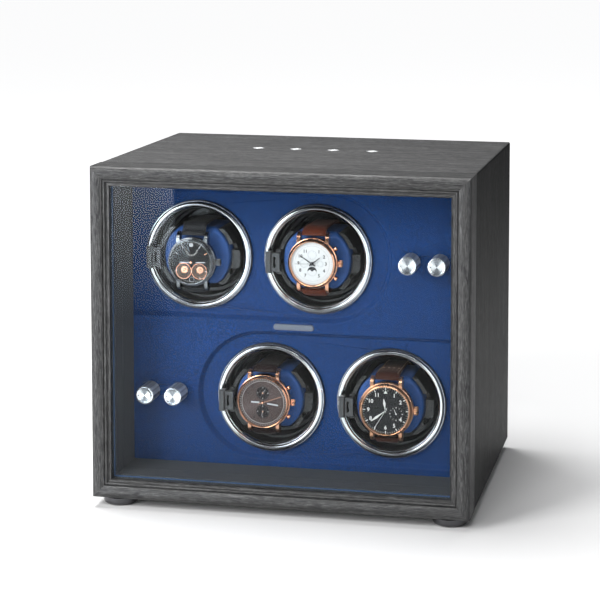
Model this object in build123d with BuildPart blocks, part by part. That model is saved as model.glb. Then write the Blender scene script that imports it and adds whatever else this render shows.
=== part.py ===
from build123d import *
import os
from math import acos, atan2, cos, degrees, pi, radians, sin, tan

# Watch winder box for four watches.
# Millimetres. +Z up, +X right, -Y towards the viewer of the door.
# The origin is the centre of the footprint, on the table.

# ---------------------------------------------------------------- driving dimensions
WIDTH = 308.0
HEIGHT = 269.0                  # case and door, without the feet
DEPTH = 216.0                   # case and door together
FOOT_HEIGHT = 8.0
EDGE_ROUND = 1.5
PANEL = 13.5                    # thickness of the case boards
MARGIN = 16.0                   # outside face to the inner edge of the glass retainer
LINING_INSET = 17.2             # outside face to the visible inside walls
LINING_CLEARANCE = 0.2
DOOR_THICK = 26.7
SEAM = 0.6                      # gap between the closed door and the case
BACK_PANEL_THICK = 9.0
BACK_REBATE_WALL = 6.5          # wood left outside the back panel
INNER_WIDTH = WIDTH - 2 * PANEL
INNER_HEIGHT = HEIGHT - 2 * PANEL

FRONT = -DEPTH / 2
BACK = DEPTH / 2
BASE = FOOT_HEIGHT
TOP = BASE + HEIGHT
MID = BASE + HEIGHT / 2
CASE_FRONT = FRONT + DOOR_THICK + SEAM
HALF_WIDTH = WIDTH / 2
HALF_HEIGHT = HEIGHT / 2

# Door moulding, measured in from its outer edge and back from its front
LIP = 15.7
REBATE = 11.0
GLASS_FRONT = 5.5
GLASS_THICK = 3.0
GLASS_GAP = 0.2                 # gap round the pane's edge
RIDGE_ROUND = 4.0
QUIRK_WIDTH = 0.8               # fine groove round the outside, just behind the ridge
QUIRK_DEPTH = 0.7
RETAINER_LIP = 2.0              # depth of the retainer's narrower front part

# Four square inlays in the top
INLAYS = [(x, 25.0) for x in (-53.0, -20.0, 13.0, 47.0)]
INLAY_SIZE = 5.5
INLAY_THICK = 0.8

# Face board
FACE = FRONT + 52.0             # raised front surface of the face board
RECESS_DEPTH = 4.0
FACE_THICK = 10.0
FACE_REAR = FACE + FACE_THICK
RECESS_FLOOR = FACE + RECESS_DEPTH
RECESS_HALF = 53.5              # half height of a recess at the raised surface
RECESS_SLOPE = 3.0              # how far the sloping edge runs in
RECESS_END_X = 27.8             # centre of a recess's round end
ROW_MIDDLE = MID - 0.5          # level halfway between the two rows
ROTOR_Z = 58.0                  # recess rows above and below that level
ROTOR_DROP = 1.5                # how far the rotors sit below the middle of their recess
ROTOR_GAP = 100.6               # spacing of two rotors in a row
ROTOR_SHIFT = 30.5              # how far a row's middle is from the box's middle
BOARD_HOLE = 43.4
KNOB_HOLE = 4.6
CLEAT = 12.0

# Rotor
COLLAR_RADIUS = 45.2
COLLAR_THICK = 2.2
BEZEL_RADIUS = 44.7
BEZEL_MOUTH = 39.2
BEZEL_HEIGHT = 3.0
HOUSING_RADIUS = 43.2
HOUSING_BORE = 41.9
CUP_RADIUS = 41.2
CUP_MOUTH = 38.9                # inside radii of the cup, from its mouth to its floor
CUP_MIDDLE = 36.8
CUP_WELL = 33.6
CUP_WALL = 2.4
CUP_FIRST_STEP = -38.0
CUP_SECOND_STEP = -24.0
HOUSING_FLOOR = 3.2
HOUSING_REAR = 6.2
AXLE_RADIUS = 2.5
RUNNING = 0.05                  # radial running clearance
CUP_FLOOR = -6.8
CUP_FLOOR_REAR = -3.8
GEAR_REAR = 2.2

# Gear pair
MODULE = 1.0
GEAR_TEETH = 48
PINION_TEETH = 12
PRESSURE_ANGLE = radians(20)
ADDENDUM = 0.8
DEDENDUM = 1.25
BACKLASH = 0.3
PINION_OFFSET = MODULE * (GEAR_TEETH + PINION_TEETH) / 2
MOTOR_SHAFT_RADIUS = 1.0
GEARBOX_FRONT = HOUSING_REAR
GEARBOX_REAR = GEARBOX_FRONT + 12.0
MOTOR_CAN = 20.0

# Holder, pillow and watch
HOLDER_INNER = 29.2
HOLDER_OUTER = 32.2
HOLDER_HALF_Z = 23.0
HOLDER_FRONT = FACE - 2.0
HOLDER_DISC = 33.0
STOP_RADIUS = 35.8              # outside of the stop block at the holder's right
LATCH_DROP = 2.0                # how far the latch and the stop block sit below the holder's middle
ARM_CENTRE = 31.5
DISC_FRONT = -11.0
DISC_REAR = -9.0
LATCH_TRAVEL = 2.5
PILLOW_RADIUS = 28.4
PILLOW_ROUND = 6.0
PILLOW_HALF_Z = 24.0
PILLOW_FRONT = -59.4
PILLOW_REAR = -14.0
STRAP_THICK = 2.0
STRAP_HALF = 10.0
STRAP_GAP = 0.5                 # between the pillow and the closed strap
WATCH_FRONT = -76.0
WATCH_REAR = -60.4
WATCH_RADII = (20.0, 20.5, 22.2, 22.2)

# Knobs
KNOB_RADIUS = 7.5
KNOB_FRONT = FACE - 18.0
KNOB_SHAFT = 3.0
KNOB_X = (97.5, 121.3)
SWITCH_REAR = FACE_REAR + 9.0

# Hinges, on the left side
HINGE_X = -HALF_WIDTH - 0.8
HINGE_Y = CASE_FRONT - SEAM / 2
HINGE_HALF = 20.0
HINGE_Z = (MID - 85.0, MID + 85.0)
KNUCKLE = 2.3
HINGE_PIN = 1.0
LEAF = 1.2
LEAF_WIDTH = 10.0

# Door catch, on the right side
CATCH_X = HALF_WIDTH - 5.5
CATCH_RADIUS = 4.6
MAGNET_LENGTH = 5.0
STRIKE_THICK = 1.2
CATCH_Z = (MID - 85.0, MID + 85.0)

# Each foot stands under the door's thickness (or level with it at the back), clear of the door,
# and is held by a tab that runs under the case.
FOOT_RADIUS = 14.5
FOOT_X = HALF_WIDTH - 18.0
FOOT_Y = DEPTH / 2 - 20.0
PAD_RADIUS = 9.1
PAD_THICK = 2.5
FOOT_TOP = FOOT_HEIGHT - 0.5
FOOT_STUD = 2.0
FOOT_STUD_Y = FOOT_Y - 16.5
FOOT_TAB_THICK = 2.0
FOOT_TAB_WIDTH = 14.0

# Electrical parts and screws at the back
JACK_Z = BASE + 34.0
BACK_SCREW_INSET = 10.0
LEAD_RADIUS = 1.3
BOARD_FRONT = BACK - BACK_PANEL_THICK - 6.0
BOARD_PORTS = [(x, MID + z) for x in (-38.0, -14.0, 14.0, 38.0) for z in (-20.0, 20.0)]

ROTORS = {
    1: (-ROTOR_SHIFT - ROTOR_GAP / 2, ROW_MIDDLE + ROTOR_Z - ROTOR_DROP),
    2: (-ROTOR_SHIFT + ROTOR_GAP / 2, ROW_MIDDLE + ROTOR_Z - ROTOR_DROP),
    3: (ROTOR_SHIFT - ROTOR_GAP / 2, ROW_MIDDLE - ROTOR_Z - ROTOR_DROP),
    4: (ROTOR_SHIFT + ROTOR_GAP / 2, ROW_MIDDLE - ROTOR_Z - ROTOR_DROP),
}
KNOBS = {
    1: (-KNOB_X[1], ROW_MIDDLE - ROTOR_Z),
    2: (-KNOB_X[0], ROW_MIDDLE - ROTOR_Z),
    3: (KNOB_X[0], ROW_MIDDLE + ROTOR_Z),
    4: (KNOB_X[1], ROW_MIDDLE + ROTOR_Z),
}
SCREWS = [(side * (HALF_WIDTH - BACK_SCREW_INSET), MID + z) for side in (-1, 1) for z in (-90, 0, 90)]
SCREWS += [(x, MID + side * (HALF_HEIGHT - BACK_SCREW_INSET)) for side in (-1, 1) for x in (-70, 70)]

os.makedirs("parts", exist_ok=True)


# ---------------------------------------------------------------- helpers
def save(part, name):
    """Labels a finished piece and writes it under its own name."""
    part.label = name
    export_step(part, f"parts/{name}.step")


def facing_front(y, x=0.0, z=0.0):
    """Upright sketch plane: sketch x is X, sketch y is Z, a positive extrusion comes forward."""
    return Plane(origin=(x, y, z), x_dir=(1, 0, 0), z_dir=(0, -1, 0))


def radial(x, z):
    """Sketch plane for a profile turned about a front-to-back axis: sketch x is radius, y is Y."""
    return Plane(origin=(x, 0, z), x_dir=(1, 0, 0), z_dir=(0, 0, 1))


def front_axis(x, z):
    """Front-to-back axis through x, z."""
    return Axis((x, 0, z), (0, 1, 0))


def wedge(side):
    """Outline of one side of the box, cut at 45 degrees at its corners."""
    over = 2.0
    inner = 2 * MARGIN
    w = HALF_WIDTH
    h = HALF_HEIGHT
    if side in ("top", "bottom"):
        sign = 1 if side == "top" else -1
        return [
            (-w - over, MID + sign * (h + over)),
            (w + over, MID + sign * (h + over)),
            (w - inner, MID + sign * (h - inner)),
            (-w + inner, MID + sign * (h - inner)),
        ]
    sign = 1 if side == "right" else -1
    return [
        (sign * (w + over), MID + h + over),
        (sign * (w + over), MID - h - over),
        (sign * (w - inner), MID - h + inner),
        (sign * (w - inner), MID + h - inner),
    ]


def diamond(size):
    """Corner points of a square standing on its corner."""
    return [(size, 0), (0, size), (-size, 0), (0, -size)]


# ---------------------------------------------------------------- case
def case_panel(name, side):
    """One mitred board of the case, with its rebate and screw holes for the back panel."""
    with BuildPart() as panel:
        with BuildSketch(facing_front(BACK)):
            with Locations((0, MID)):
                RectangleRounded(WIDTH, HEIGHT, EDGE_ROUND)
                Rectangle(INNER_WIDTH, INNER_HEIGHT, mode=Mode.SUBTRACT)
            with BuildLine():
                Polyline(*wedge(side), close=True)
            make_face(mode=Mode.INTERSECT)
        extrude(amount=BACK - CASE_FRONT)
        with BuildSketch(facing_front(BACK)):
            with Locations((0, MID)):
                Rectangle(WIDTH - 2 * BACK_REBATE_WALL, HEIGHT - 2 * BACK_REBATE_WALL)
        extrude(amount=BACK_PANEL_THICK, mode=Mode.SUBTRACT)
        with BuildSketch(facing_front(BACK)):
            with Locations(*SCREWS):
                Circle(1.5)
        extrude(amount=BACK_PANEL_THICK + 10, mode=Mode.SUBTRACT)
        if side == "left":
            for z in HINGE_Z:
                with BuildSketch(Plane.XY.offset(z - HINGE_HALF - 0.2)):
                    with Locations((-HALF_WIDTH + LEAF_WIDTH / 2, CASE_FRONT + LEAF / 2)):
                        Rectangle(LEAF_WIDTH + 0.4, LEAF)
                    with Locations((HINGE_X, HINGE_Y)):
                        Circle(KNUCKLE + 0.4)
                extrude(amount=2 * HINGE_HALF + 0.4, mode=Mode.SUBTRACT)
        if side == "right":
            with BuildSketch(facing_front(CASE_FRONT)):
                with Locations(*[(CATCH_X, z) for z in CATCH_Z]):
                    Circle(CATCH_RADIUS)
            extrude(amount=-MAGNET_LENGTH, mode=Mode.SUBTRACT)
        if side == "top":
            with BuildSketch(Plane.XY.offset(TOP)):
                with Locations(*INLAYS):
                    with BuildLine(mode=Mode.PRIVATE) as outline:
                        Polyline(*diamond(INLAY_SIZE), close=True)
                    add(make_face(outline.line, mode=Mode.PRIVATE))
            extrude(amount=-INLAY_THICK, mode=Mode.SUBTRACT)
        if side == "bottom":
            with BuildSketch(Plane.XY.offset(BASE)):
                with GridLocations(2 * FOOT_X, 2 * FOOT_STUD_Y, 2, 2):
                    Circle(FOOT_STUD)
            extrude(amount=8, mode=Mode.SUBTRACT)
    save(panel.part, name)


def top_inlays():
    """Four small square metal inlays, let in flush with the top."""
    with BuildPart() as inlays:
        with BuildSketch(Plane.XY.offset(TOP)):
            with Locations(*INLAYS):
                with BuildLine(mode=Mode.PRIVATE) as outline:
                    Polyline(*diamond(INLAY_SIZE - 0.1), close=True)
                add(make_face(outline.line, mode=Mode.PRIVATE))
        extrude(amount=-INLAY_THICK)
    save(inlays.part, "top_inlays")


def back_panel():
    """Rear board, screwed into the rebate, with the hole for the power jack."""
    with BuildPart() as panel:
        with BuildSketch(facing_front(BACK)):
            with Locations((0, MID)):
                Rectangle(WIDTH - 2 * BACK_REBATE_WALL - 0.6, HEIGHT - 2 * BACK_REBATE_WALL - 0.6)
            with Locations((0, JACK_Z)):
                Circle(5.8, mode=Mode.SUBTRACT)
            with Locations(*SCREWS):
                Circle(1.6, mode=Mode.SUBTRACT)
        extrude(amount=BACK_PANEL_THICK)
        with BuildSketch(facing_front(BACK)):
            with Locations((0, JACK_Z)):
                Circle(8.2)
            with Locations(*SCREWS):
                Circle(3.0)
        extrude(amount=2.0, mode=Mode.SUBTRACT)
    save(panel.part, "back_panel")


def back_panel_screws():
    """Ten pan-head screws with a cross slot, sunk just below the rear face."""
    with BuildPart() as screws:
        with BuildSketch(facing_front(BACK - 0.3)):
            with Locations(*SCREWS):
                Circle(2.8)
        extrude(amount=1.7)
        with BuildSketch(facing_front(BACK - 2.0)):
            with Locations(*SCREWS):
                Circle(1.45)
        extrude(amount=16)
        with BuildSketch(facing_front(BACK - 0.3)):
            with Locations(*SCREWS):
                Rectangle(3.2, 0.7)
                Rectangle(0.7, 3.2)
        extrude(amount=0.9, mode=Mode.SUBTRACT)
    save(screws.part, "back_panel_screws")


def compartment_lining():
    """Wrapped sleeve that lines the case between the door and the face board."""
    rear = FACE - LINING_CLEARANCE
    with BuildPart() as lining:
        with BuildSketch(facing_front(rear)):
            with Locations((0, MID)):
                Rectangle(INNER_WIDTH - 2 * LINING_CLEARANCE, INNER_HEIGHT - 2 * LINING_CLEARANCE)
                Rectangle(WIDTH - 2 * LINING_INSET, HEIGHT - 2 * LINING_INSET, mode=Mode.SUBTRACT)
        extrude(amount=rear - CASE_FRONT)
    save(lining.part, "compartment_lining")


def face_board():
    """Blue board with two long shallow recesses, each open to one side, and its round holes."""
    slope_angle = degrees(atan2(RECESS_SLOPE, RECESS_DEPTH))
    far = HALF_WIDTH + 20
    with BuildPart() as board:
        with BuildSketch(facing_front(FACE_REAR)):
            with Locations((0, MID)):
                Rectangle(INNER_WIDTH - 2 * LINING_CLEARANCE, INNER_HEIGHT - 2 * LINING_CLEARANCE)
        extrude(amount=FACE_THICK)
        for side in (1, -1):
            row = ROW_MIDDLE + side * ROTOR_Z
            end = side * RECESS_END_X
            with BuildSketch(facing_front(FACE)):
                with BuildLine():
                    Line((end, row + RECESS_HALF), (-side * far, row + RECESS_HALF))
                    Line((-side * far, row + RECESS_HALF), (-side * far, row - RECESS_HALF))
                    Line((-side * far, row - RECESS_HALF), (end, row - RECESS_HALF))
                    ThreePointArc(
                        (end, row - RECESS_HALF), (end + side * RECESS_HALF, row), (end, row + RECESS_HALF)
                    )
                make_face()
            extrude(amount=-RECESS_DEPTH, taper=slope_angle, mode=Mode.SUBTRACT)
        with BuildSketch(facing_front(FACE_REAR)):
            with Locations(*ROTORS.values()):
                Circle(BOARD_HOLE)
            with Locations(*KNOBS.values()):
                Circle(KNOB_HOLE)
        extrude(amount=FACE_THICK, mode=Mode.SUBTRACT)
    save(board.part, "face_board")


def face_board_cleats():
    """Four battens glued into the case, which the face board is fixed to from behind."""
    width = INNER_WIDTH - 2 * LINING_CLEARANCE
    height = INNER_HEIGHT - 2 * LINING_CLEARANCE
    with BuildPart() as cleats:
        with BuildSketch(facing_front(FACE_REAR)):
            for side in (-1, 1):
                with Locations((0, MID + side * (height - CLEAT) / 2)):
                    Rectangle(width - 2 * CLEAT - 2, CLEAT / 2)
                with Locations((side * (width - CLEAT / 2) / 2, MID)):
                    Rectangle(CLEAT / 2, height - 2 * CLEAT - 2)
        extrude(amount=-CLEAT)
    save(cleats.part, "face_board_cleats")


def badge_bar():
    """Plain metal bar with rounded ends on the raised band."""
    with BuildPart() as bar:
        with BuildSketch(facing_front(FACE)):
            with Locations((0, ROW_MIDDLE)):
                SlotOverall(34, 5)
        extrude(amount=1.2)
        fillet(bar.faces().sort_by(Axis.Y)[0].edges(), 0.5)
    save(bar.part, "badge_bar")


def foot_locations():
    """Centres of the four feet."""
    return [(x, y) for x in (-FOOT_X, FOOT_X) for y in (-FOOT_Y, FOOT_Y)]


def feet():
    """Turned metal feet, each with a tab and a stud that screws up into the bottom board."""
    pocket = PAD_RADIUS + 0.1
    with BuildPart() as metal:
        for x, y in foot_locations():
            stud_y = FOOT_STUD_Y if y > 0 else -FOOT_STUD_Y
            with BuildSketch(Plane(origin=(x, y, 0), x_dir=(1, 0, 0), z_dir=(0, -1, 0))):
                with BuildLine():
                    Polyline((FOOT_RADIUS - 1.2, 1), (pocket, 1), (pocket, PAD_THICK), (0, PAD_THICK))
                    Line((0, PAD_THICK), (0, FOOT_TOP))
                    Polyline((0, FOOT_TOP), (FOOT_RADIUS - 1, FOOT_TOP), (FOOT_RADIUS, FOOT_TOP - 1))
                    Line((FOOT_RADIUS, FOOT_TOP - 1), (FOOT_RADIUS, 3.4))
                    ThreePointArc((FOOT_RADIUS, 3.4), (FOOT_RADIUS - 0.4, 1.8), (FOOT_RADIUS - 1.2, 1))
                make_face()
            revolve(axis=Axis((x, y, 0), (0, 0, 1)))
            with BuildSketch(Plane.XY.offset(FOOT_TOP - FOOT_TAB_THICK)):
                with Locations((x, (y + stud_y) / 2)):
                    Rectangle(FOOT_TAB_WIDTH, abs(y - stud_y))
                with Locations((x, stud_y)):
                    Circle(FOOT_TAB_WIDTH / 2)
            extrude(amount=FOOT_TAB_THICK)
            with BuildSketch(Plane.XY.offset(FOOT_TOP)):
                with Locations((x, stud_y)):
                    Circle(FOOT_TAB_WIDTH / 2 - 1)
            extrude(amount=FOOT_HEIGHT - FOOT_TOP)
            with BuildSketch(Plane.XY.offset(FOOT_HEIGHT)):
                with Locations((x, stud_y)):
                    Circle(FOOT_STUD)
            extrude(amount=7.5)
    save(metal.part, "feet")


def foot_pads():
    """Rubber discs set into the feet."""
    with BuildPart() as pads:
        with BuildSketch():
            with Locations(*foot_locations()):
                Circle(PAD_RADIUS)
        extrude(amount=PAD_THICK)
    save(pads.part, "foot_pads")


def dc_jack():
    """Round power inlet with its centre pin, set flush in the back panel."""
    with BuildPart() as jack:
        with BuildSketch(facing_front(BACK - 0.1)):
            with Locations((0, JACK_Z)):
                Circle(8.0)
        extrude(amount=1.9)
        with BuildSketch(facing_front(BACK - 2.0)):
            with Locations((0, JACK_Z)):
                Circle(5.6)
        extrude(amount=13)
        with BuildSketch(facing_front(BACK - 0.1)):
            with Locations((0, JACK_Z)):
                Circle(2.8)
                Circle(1.05, mode=Mode.SUBTRACT)
        extrude(amount=9.5, mode=Mode.SUBTRACT)
    save(jack.part, "dc_jack")


def control_board():
    """Circuit board on four spacers, with its chips and two rows of connectors."""
    board_width = 96.0
    board_height = 60.0
    board_thick = 1.6
    with BuildPart() as board:
        with BuildSketch(facing_front(BOARD_FRONT + board_thick)):
            with Locations((0, MID)):
                RectangleRounded(board_width, board_height, 3)
        extrude(amount=board_thick)
        with BuildSketch(facing_front(BACK - BACK_PANEL_THICK)):
            with Locations((0, MID)):
                with GridLocations(board_width - 10, board_height - 10, 2, 2):
                    Circle(2.5)
        extrude(amount=BACK - BACK_PANEL_THICK - BOARD_FRONT - board_thick)
        with BuildSketch(facing_front(BOARD_FRONT)):
            with Locations((-14, MID), (14, MID)):
                Rectangle(14, 10)
        extrude(amount=2)
        with BuildSketch(facing_front(BOARD_FRONT)):
            for x, z in BOARD_PORTS:
                with Locations((x, z)):
                    Rectangle(8, 6)
        extrude(amount=5)
    save(board.part, "control_board")


def wiring_loom():
    """Insulated leads from the control board to the motors, the switches and the power jack."""
    port_face = BOARD_FRONT - 5.1
    motor_rear = GEARBOX_REAR + MOTOR_CAN + 0.1
    leads = []
    for port, number in ((1, 1), (3, 2), (4, 3), (6, 4)):
        x, z = ROTORS[number]
        leads.append((BOARD_PORTS[port], (x, motor_rear, z - PINION_OFFSET)))
    for port, number in ((7, 3), (0, 2)):
        x, z = KNOBS[number]
        leads.append((BOARD_PORTS[port], (x, SWITCH_REAR + 0.1, z)))
    with BuildPart() as loom:
        for (px, pz), end in leads:
            with BuildLine() as route:
                Spline((px, port_face, pz), end, tangents=((0, -1, 0), (0, -1, 0)))
            with BuildSketch(Plane(origin=(px, port_face, pz), x_dir=(1, 0, 0), z_dir=(0, -1, 0))):
                Circle(LEAD_RADIUS)
            sweep(path=route.line)
        with BuildLine() as jack_route:
            Spline(
                (BOARD_PORTS[2][0], port_face, BOARD_PORTS[2][1]),
                (0, BACK - 60, JACK_Z + 10),
                (0, BACK - 15.1, JACK_Z),
                tangents=((0, -1, 0), (0, 1, 0)),
            )
        with BuildSketch(
            Plane(origin=(BOARD_PORTS[2][0], port_face, BOARD_PORTS[2][1]), x_dir=(1, 0, 0), z_dir=(0, -1, 0))
        ):
            Circle(LEAD_RADIUS)
        sweep(path=jack_route.line)
    save(loom.part, "wiring_loom")


# ---------------------------------------------------------------- door
def door_member(name, side):
    """One mitred length of the door moulding.

    The profile runs in from the outer edge: a fine groove, a rounded ridge, a broad convex face,
    a groove, a bead, a cove and the lip, with the rebate for the glass behind the lip.
    """
    corner = {
        "top": (-HALF_WIDTH, FRONT, TOP),
        "right": (HALF_WIDTH, FRONT, TOP),
        "bottom": (HALF_WIDTH, FRONT, BASE),
        "left": (-HALF_WIDTH, FRONT, BASE),
    }[side]
    inward = {"top": (0, 0, -1), "right": (-1, 0, 0), "bottom": (0, 0, 1), "left": (1, 0, 0)}[side]
    along = {"top": (1, 0, 0), "right": (0, 0, -1), "bottom": (-1, 0, 0), "left": (0, 0, 1)}[side]
    length = WIDTH if side in ("top", "bottom") else HEIGHT
    quirk_rear = RIDGE_ROUND + QUIRK_WIDTH
    with BuildPart() as member:
        with BuildSketch(Plane(origin=corner, x_dir=inward, z_dir=along)):
            with BuildLine():
                Polyline((0, DOOR_THICK), (0, quirk_rear), (QUIRK_DEPTH, quirk_rear))
                Polyline((QUIRK_DEPTH, quirk_rear), (QUIRK_DEPTH, RIDGE_ROUND), (0, RIDGE_ROUND))
                CenterArc((RIDGE_ROUND, RIDGE_ROUND), RIDGE_ROUND, 180, 90)
                ThreePointArc((RIDGE_ROUND, 0), (7.2, 0.5), (10, 1.9))
                Polyline((10, 1.9), (10.1, 3.3), (10.6, 3.3))
                ThreePointArc((10.6, 3.3), (11.6, 2.2), (12.6, 3.3))
                ThreePointArc((12.6, 3.3), (13.8, 4.3), (LIP, 3.5))
                Polyline((LIP, 3.5), (LIP, GLASS_FRONT), (REBATE, GLASS_FRONT))
                Polyline((REBATE, GLASS_FRONT), (REBATE, DOOR_THICK), (0, DOOR_THICK))
            make_face()
        extrude(amount=length)
        with BuildSketch(facing_front(FRONT + DOOR_THICK + 1)):
            with BuildLine():
                Polyline(*wedge(side), close=True)
            make_face()
        extrude(amount=DOOR_THICK + 2, mode=Mode.INTERSECT)
        if side == "left":
            for z in HINGE_Z:
                with BuildSketch(Plane.XY.offset(z - HINGE_HALF - 0.2)):
                    with Locations((-HALF_WIDTH + LEAF_WIDTH / 2, FRONT + DOOR_THICK - LEAF / 2)):
                        Rectangle(LEAF_WIDTH + 0.4, LEAF)
                    with Locations((HINGE_X, HINGE_Y)):
                        Circle(KNUCKLE + 0.4)
                extrude(amount=2 * HINGE_HALF + 0.4, mode=Mode.SUBTRACT)
        if side == "right":
            with BuildSketch(facing_front(FRONT + DOOR_THICK)):
                with Locations(*[(CATCH_X, z) for z in CATCH_Z]):
                    Circle(CATCH_RADIUS)
            extrude(amount=STRIKE_THICK, mode=Mode.SUBTRACT)
    save(member.part, name)


def door_glass():
    """Flat pane held behind the moulding's lip."""
    with BuildPart() as glass:
        with BuildSketch(facing_front(FRONT + GLASS_FRONT + GLASS_THICK)):
            with Locations((0, MID)):
                Rectangle(WIDTH - 2 * (REBATE + GLASS_GAP), HEIGHT - 2 * (REBATE + GLASS_GAP))
        extrude(amount=GLASS_THICK)
        chamfer(glass.faces().sort_by(Axis.Y)[0].edges(), 0.6)
    save(glass.part, "door_glass")


def glass_retainer():
    """Wrapped frame that holds the pane from behind and makes the door's inner wall."""
    rear = FRONT + DOOR_THICK - 0.1
    front = FRONT + GLASS_FRONT + GLASS_THICK + 0.1
    with BuildPart() as frame:
        with BuildSketch(facing_front(rear)):
            with Locations((0, MID)):
                Rectangle(WIDTH - 2 * (REBATE + GLASS_GAP), HEIGHT - 2 * (REBATE + GLASS_GAP))
                Rectangle(WIDTH - 2 * MARGIN, HEIGHT - 2 * MARGIN, mode=Mode.SUBTRACT)
        extrude(amount=rear - front)
        with BuildSketch(facing_front(rear)):
            with Locations((0, MID)):
                Rectangle(WIDTH - 2 * MARGIN, HEIGHT - 2 * MARGIN)
                Rectangle(WIDTH - 2 * LINING_INSET, HEIGHT - 2 * LINING_INSET, mode=Mode.SUBTRACT)
        extrude(amount=rear - front - RETAINER_LIP)
    save(frame.part, "glass_retainer")


def hinge_leaves(name, side):
    """Both leaves of one kind. The case leaf has the outer knuckles, the door leaf the middle one."""
    leaf_y = CASE_FRONT + LEAF / 2 if side == "case" else FRONT + DOOR_THICK - LEAF / 2
    third = HINGE_HALF / 3
    gap = 0.1
    if side == "case":
        own = [(-HINGE_HALF, -third - gap), (third + gap, HINGE_HALF)]
        other = [(-third - 2 * gap, third + 2 * gap)]
    else:
        own = [(-third + gap, third - gap)]
        other = [(-HINGE_HALF - 1, -third + 2 * gap), (third - 2 * gap, HINGE_HALF + 1)]
    with BuildPart() as leaves:
        for z in HINGE_Z:
            with BuildSketch(Plane.XY.offset(z - HINGE_HALF)):
                with Locations(((HINGE_X - HALF_WIDTH + LEAF_WIDTH) / 2, leaf_y)):
                    Rectangle(-HALF_WIDTH + LEAF_WIDTH - HINGE_X, LEAF)
            extrude(amount=2 * HINGE_HALF)
            for low, high in other:
                with BuildSketch(Plane.XY.offset(z + low)):
                    with Locations((HINGE_X, HINGE_Y)):
                        Circle(KNUCKLE + 0.2)
                extrude(amount=high - low, mode=Mode.SUBTRACT)
            for low, high in own:
                with BuildSketch(Plane.XY.offset(z + low)):
                    with Locations((HINGE_X, HINGE_Y)):
                        Circle(KNUCKLE)
                extrude(amount=high - low)
            with BuildSketch(Plane.XY.offset(z - HINGE_HALF)):
                with Locations((HINGE_X, HINGE_Y)):
                    Circle(HINGE_PIN + RUNNING)
            extrude(amount=2 * HINGE_HALF, mode=Mode.SUBTRACT)
    save(leaves.part, name)


def hinge_pins():
    """The two pins that the door turns on."""
    with BuildPart() as pins:
        for z in HINGE_Z:
            with BuildSketch(Plane.XY.offset(z - HINGE_HALF)):
                with Locations((HINGE_X, HINGE_Y)):
                    Circle(HINGE_PIN)
            extrude(amount=2 * HINGE_HALF)
    save(pins.part, "hinge_pins")


def door_magnets():
    """Two round magnets in the front edge of the case's right board."""
    with BuildPart() as magnets:
        with BuildSketch(facing_front(CASE_FRONT + 0.05)):
            with Locations(*[(CATCH_X, z) for z in CATCH_Z]):
                Circle(CATCH_RADIUS - 0.05)
        extrude(amount=-MAGNET_LENGTH + 0.1)
    save(magnets.part, "door_magnets")


def door_strike_plates():
    """Two steel discs in the door, opposite the magnets."""
    with BuildPart() as plates:
        with BuildSketch(facing_front(FRONT + DOOR_THICK - 0.05)):
            with Locations(*[(CATCH_X, z) for z in CATCH_Z]):
                Circle(CATCH_RADIUS - 0.05)
        extrude(amount=STRIKE_THICK - 0.1)
    save(plates.part, "door_strike_plates")


# ---------------------------------------------------------------- gears
def involute(angle):
    """Involute function of a pressure angle."""
    return tan(angle) - angle


def tooth_half_angle(radius, teeth):
    """Half the angle that a tooth fills at a radius."""
    pitch_radius = MODULE * teeth / 2
    base_radius = pitch_radius * cos(PRESSURE_ANGLE)
    at_pitch = (pi * MODULE - BACKLASH) / (4 * pitch_radius) - BACKLASH / (4 * pitch_radius)
    pressure = acos(min(1.0, base_radius / radius)) if radius > base_radius else 0.0
    return at_pitch + involute(PRESSURE_ANGLE) - involute(pressure)


def polar(radius, angle):
    """Point at a radius and an angle in radians."""
    return (radius * cos(angle), radius * sin(angle))


def draw_gear_outline(teeth, first_angle):
    """Draws the closed outline of a spur gear, with its first tooth at first_angle."""
    pitch_radius = MODULE * teeth / 2
    root = pitch_radius - DEDENDUM * MODULE
    tip = pitch_radius + ADDENDUM * MODULE
    step = 2 * pi / teeth
    at_root = tooth_half_angle(root, teeth)
    at_pitch = tooth_half_angle(pitch_radius, teeth)
    at_tip = tooth_half_angle(tip, teeth)
    for tooth in range(teeth):
        middle = first_angle + tooth * step
        ThreePointArc(
            polar(root, middle - at_root), polar(pitch_radius, middle - at_pitch), polar(tip, middle - at_tip)
        )
        Line(polar(tip, middle - at_tip), polar(tip, middle + at_tip))
        ThreePointArc(
            polar(tip, middle + at_tip), polar(pitch_radius, middle + at_pitch), polar(root, middle + at_root)
        )
        Line(polar(root, middle + at_root), polar(root, middle + step - at_root))


# ---------------------------------------------------------------- rotors
def rotor_housings():
    """Black plastic housings: the collar lies on the recess floor, the barrel goes through."""
    collar_front = RECESS_FLOOR - COLLAR_THICK
    outline = [
        (HOUSING_RADIUS, RECESS_FLOOR), (COLLAR_RADIUS, RECESS_FLOOR), (COLLAR_RADIUS, collar_front + 0.4),
        (COLLAR_RADIUS - 0.4, collar_front), (HOUSING_BORE, collar_front),
        (HOUSING_BORE, HOUSING_FLOOR), (AXLE_RADIUS, HOUSING_FLOOR), (AXLE_RADIUS, HOUSING_REAR),
        (HOUSING_RADIUS, HOUSING_REAR),
    ]
    with BuildPart() as housings:
        for x, z in ROTORS.values():
            with BuildSketch(radial(x, z)):
                with BuildLine():
                    Polyline(*outline, close=True)
                make_face()
            revolve(axis=front_axis(x, z))
            with BuildSketch(facing_front(HOUSING_REAR, x, z - PINION_OFFSET)):
                Circle(3.6)
            extrude(amount=HOUSING_REAR - HOUSING_FLOOR, mode=Mode.SUBTRACT)
    save(housings.part, "rotor_housings")


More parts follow.
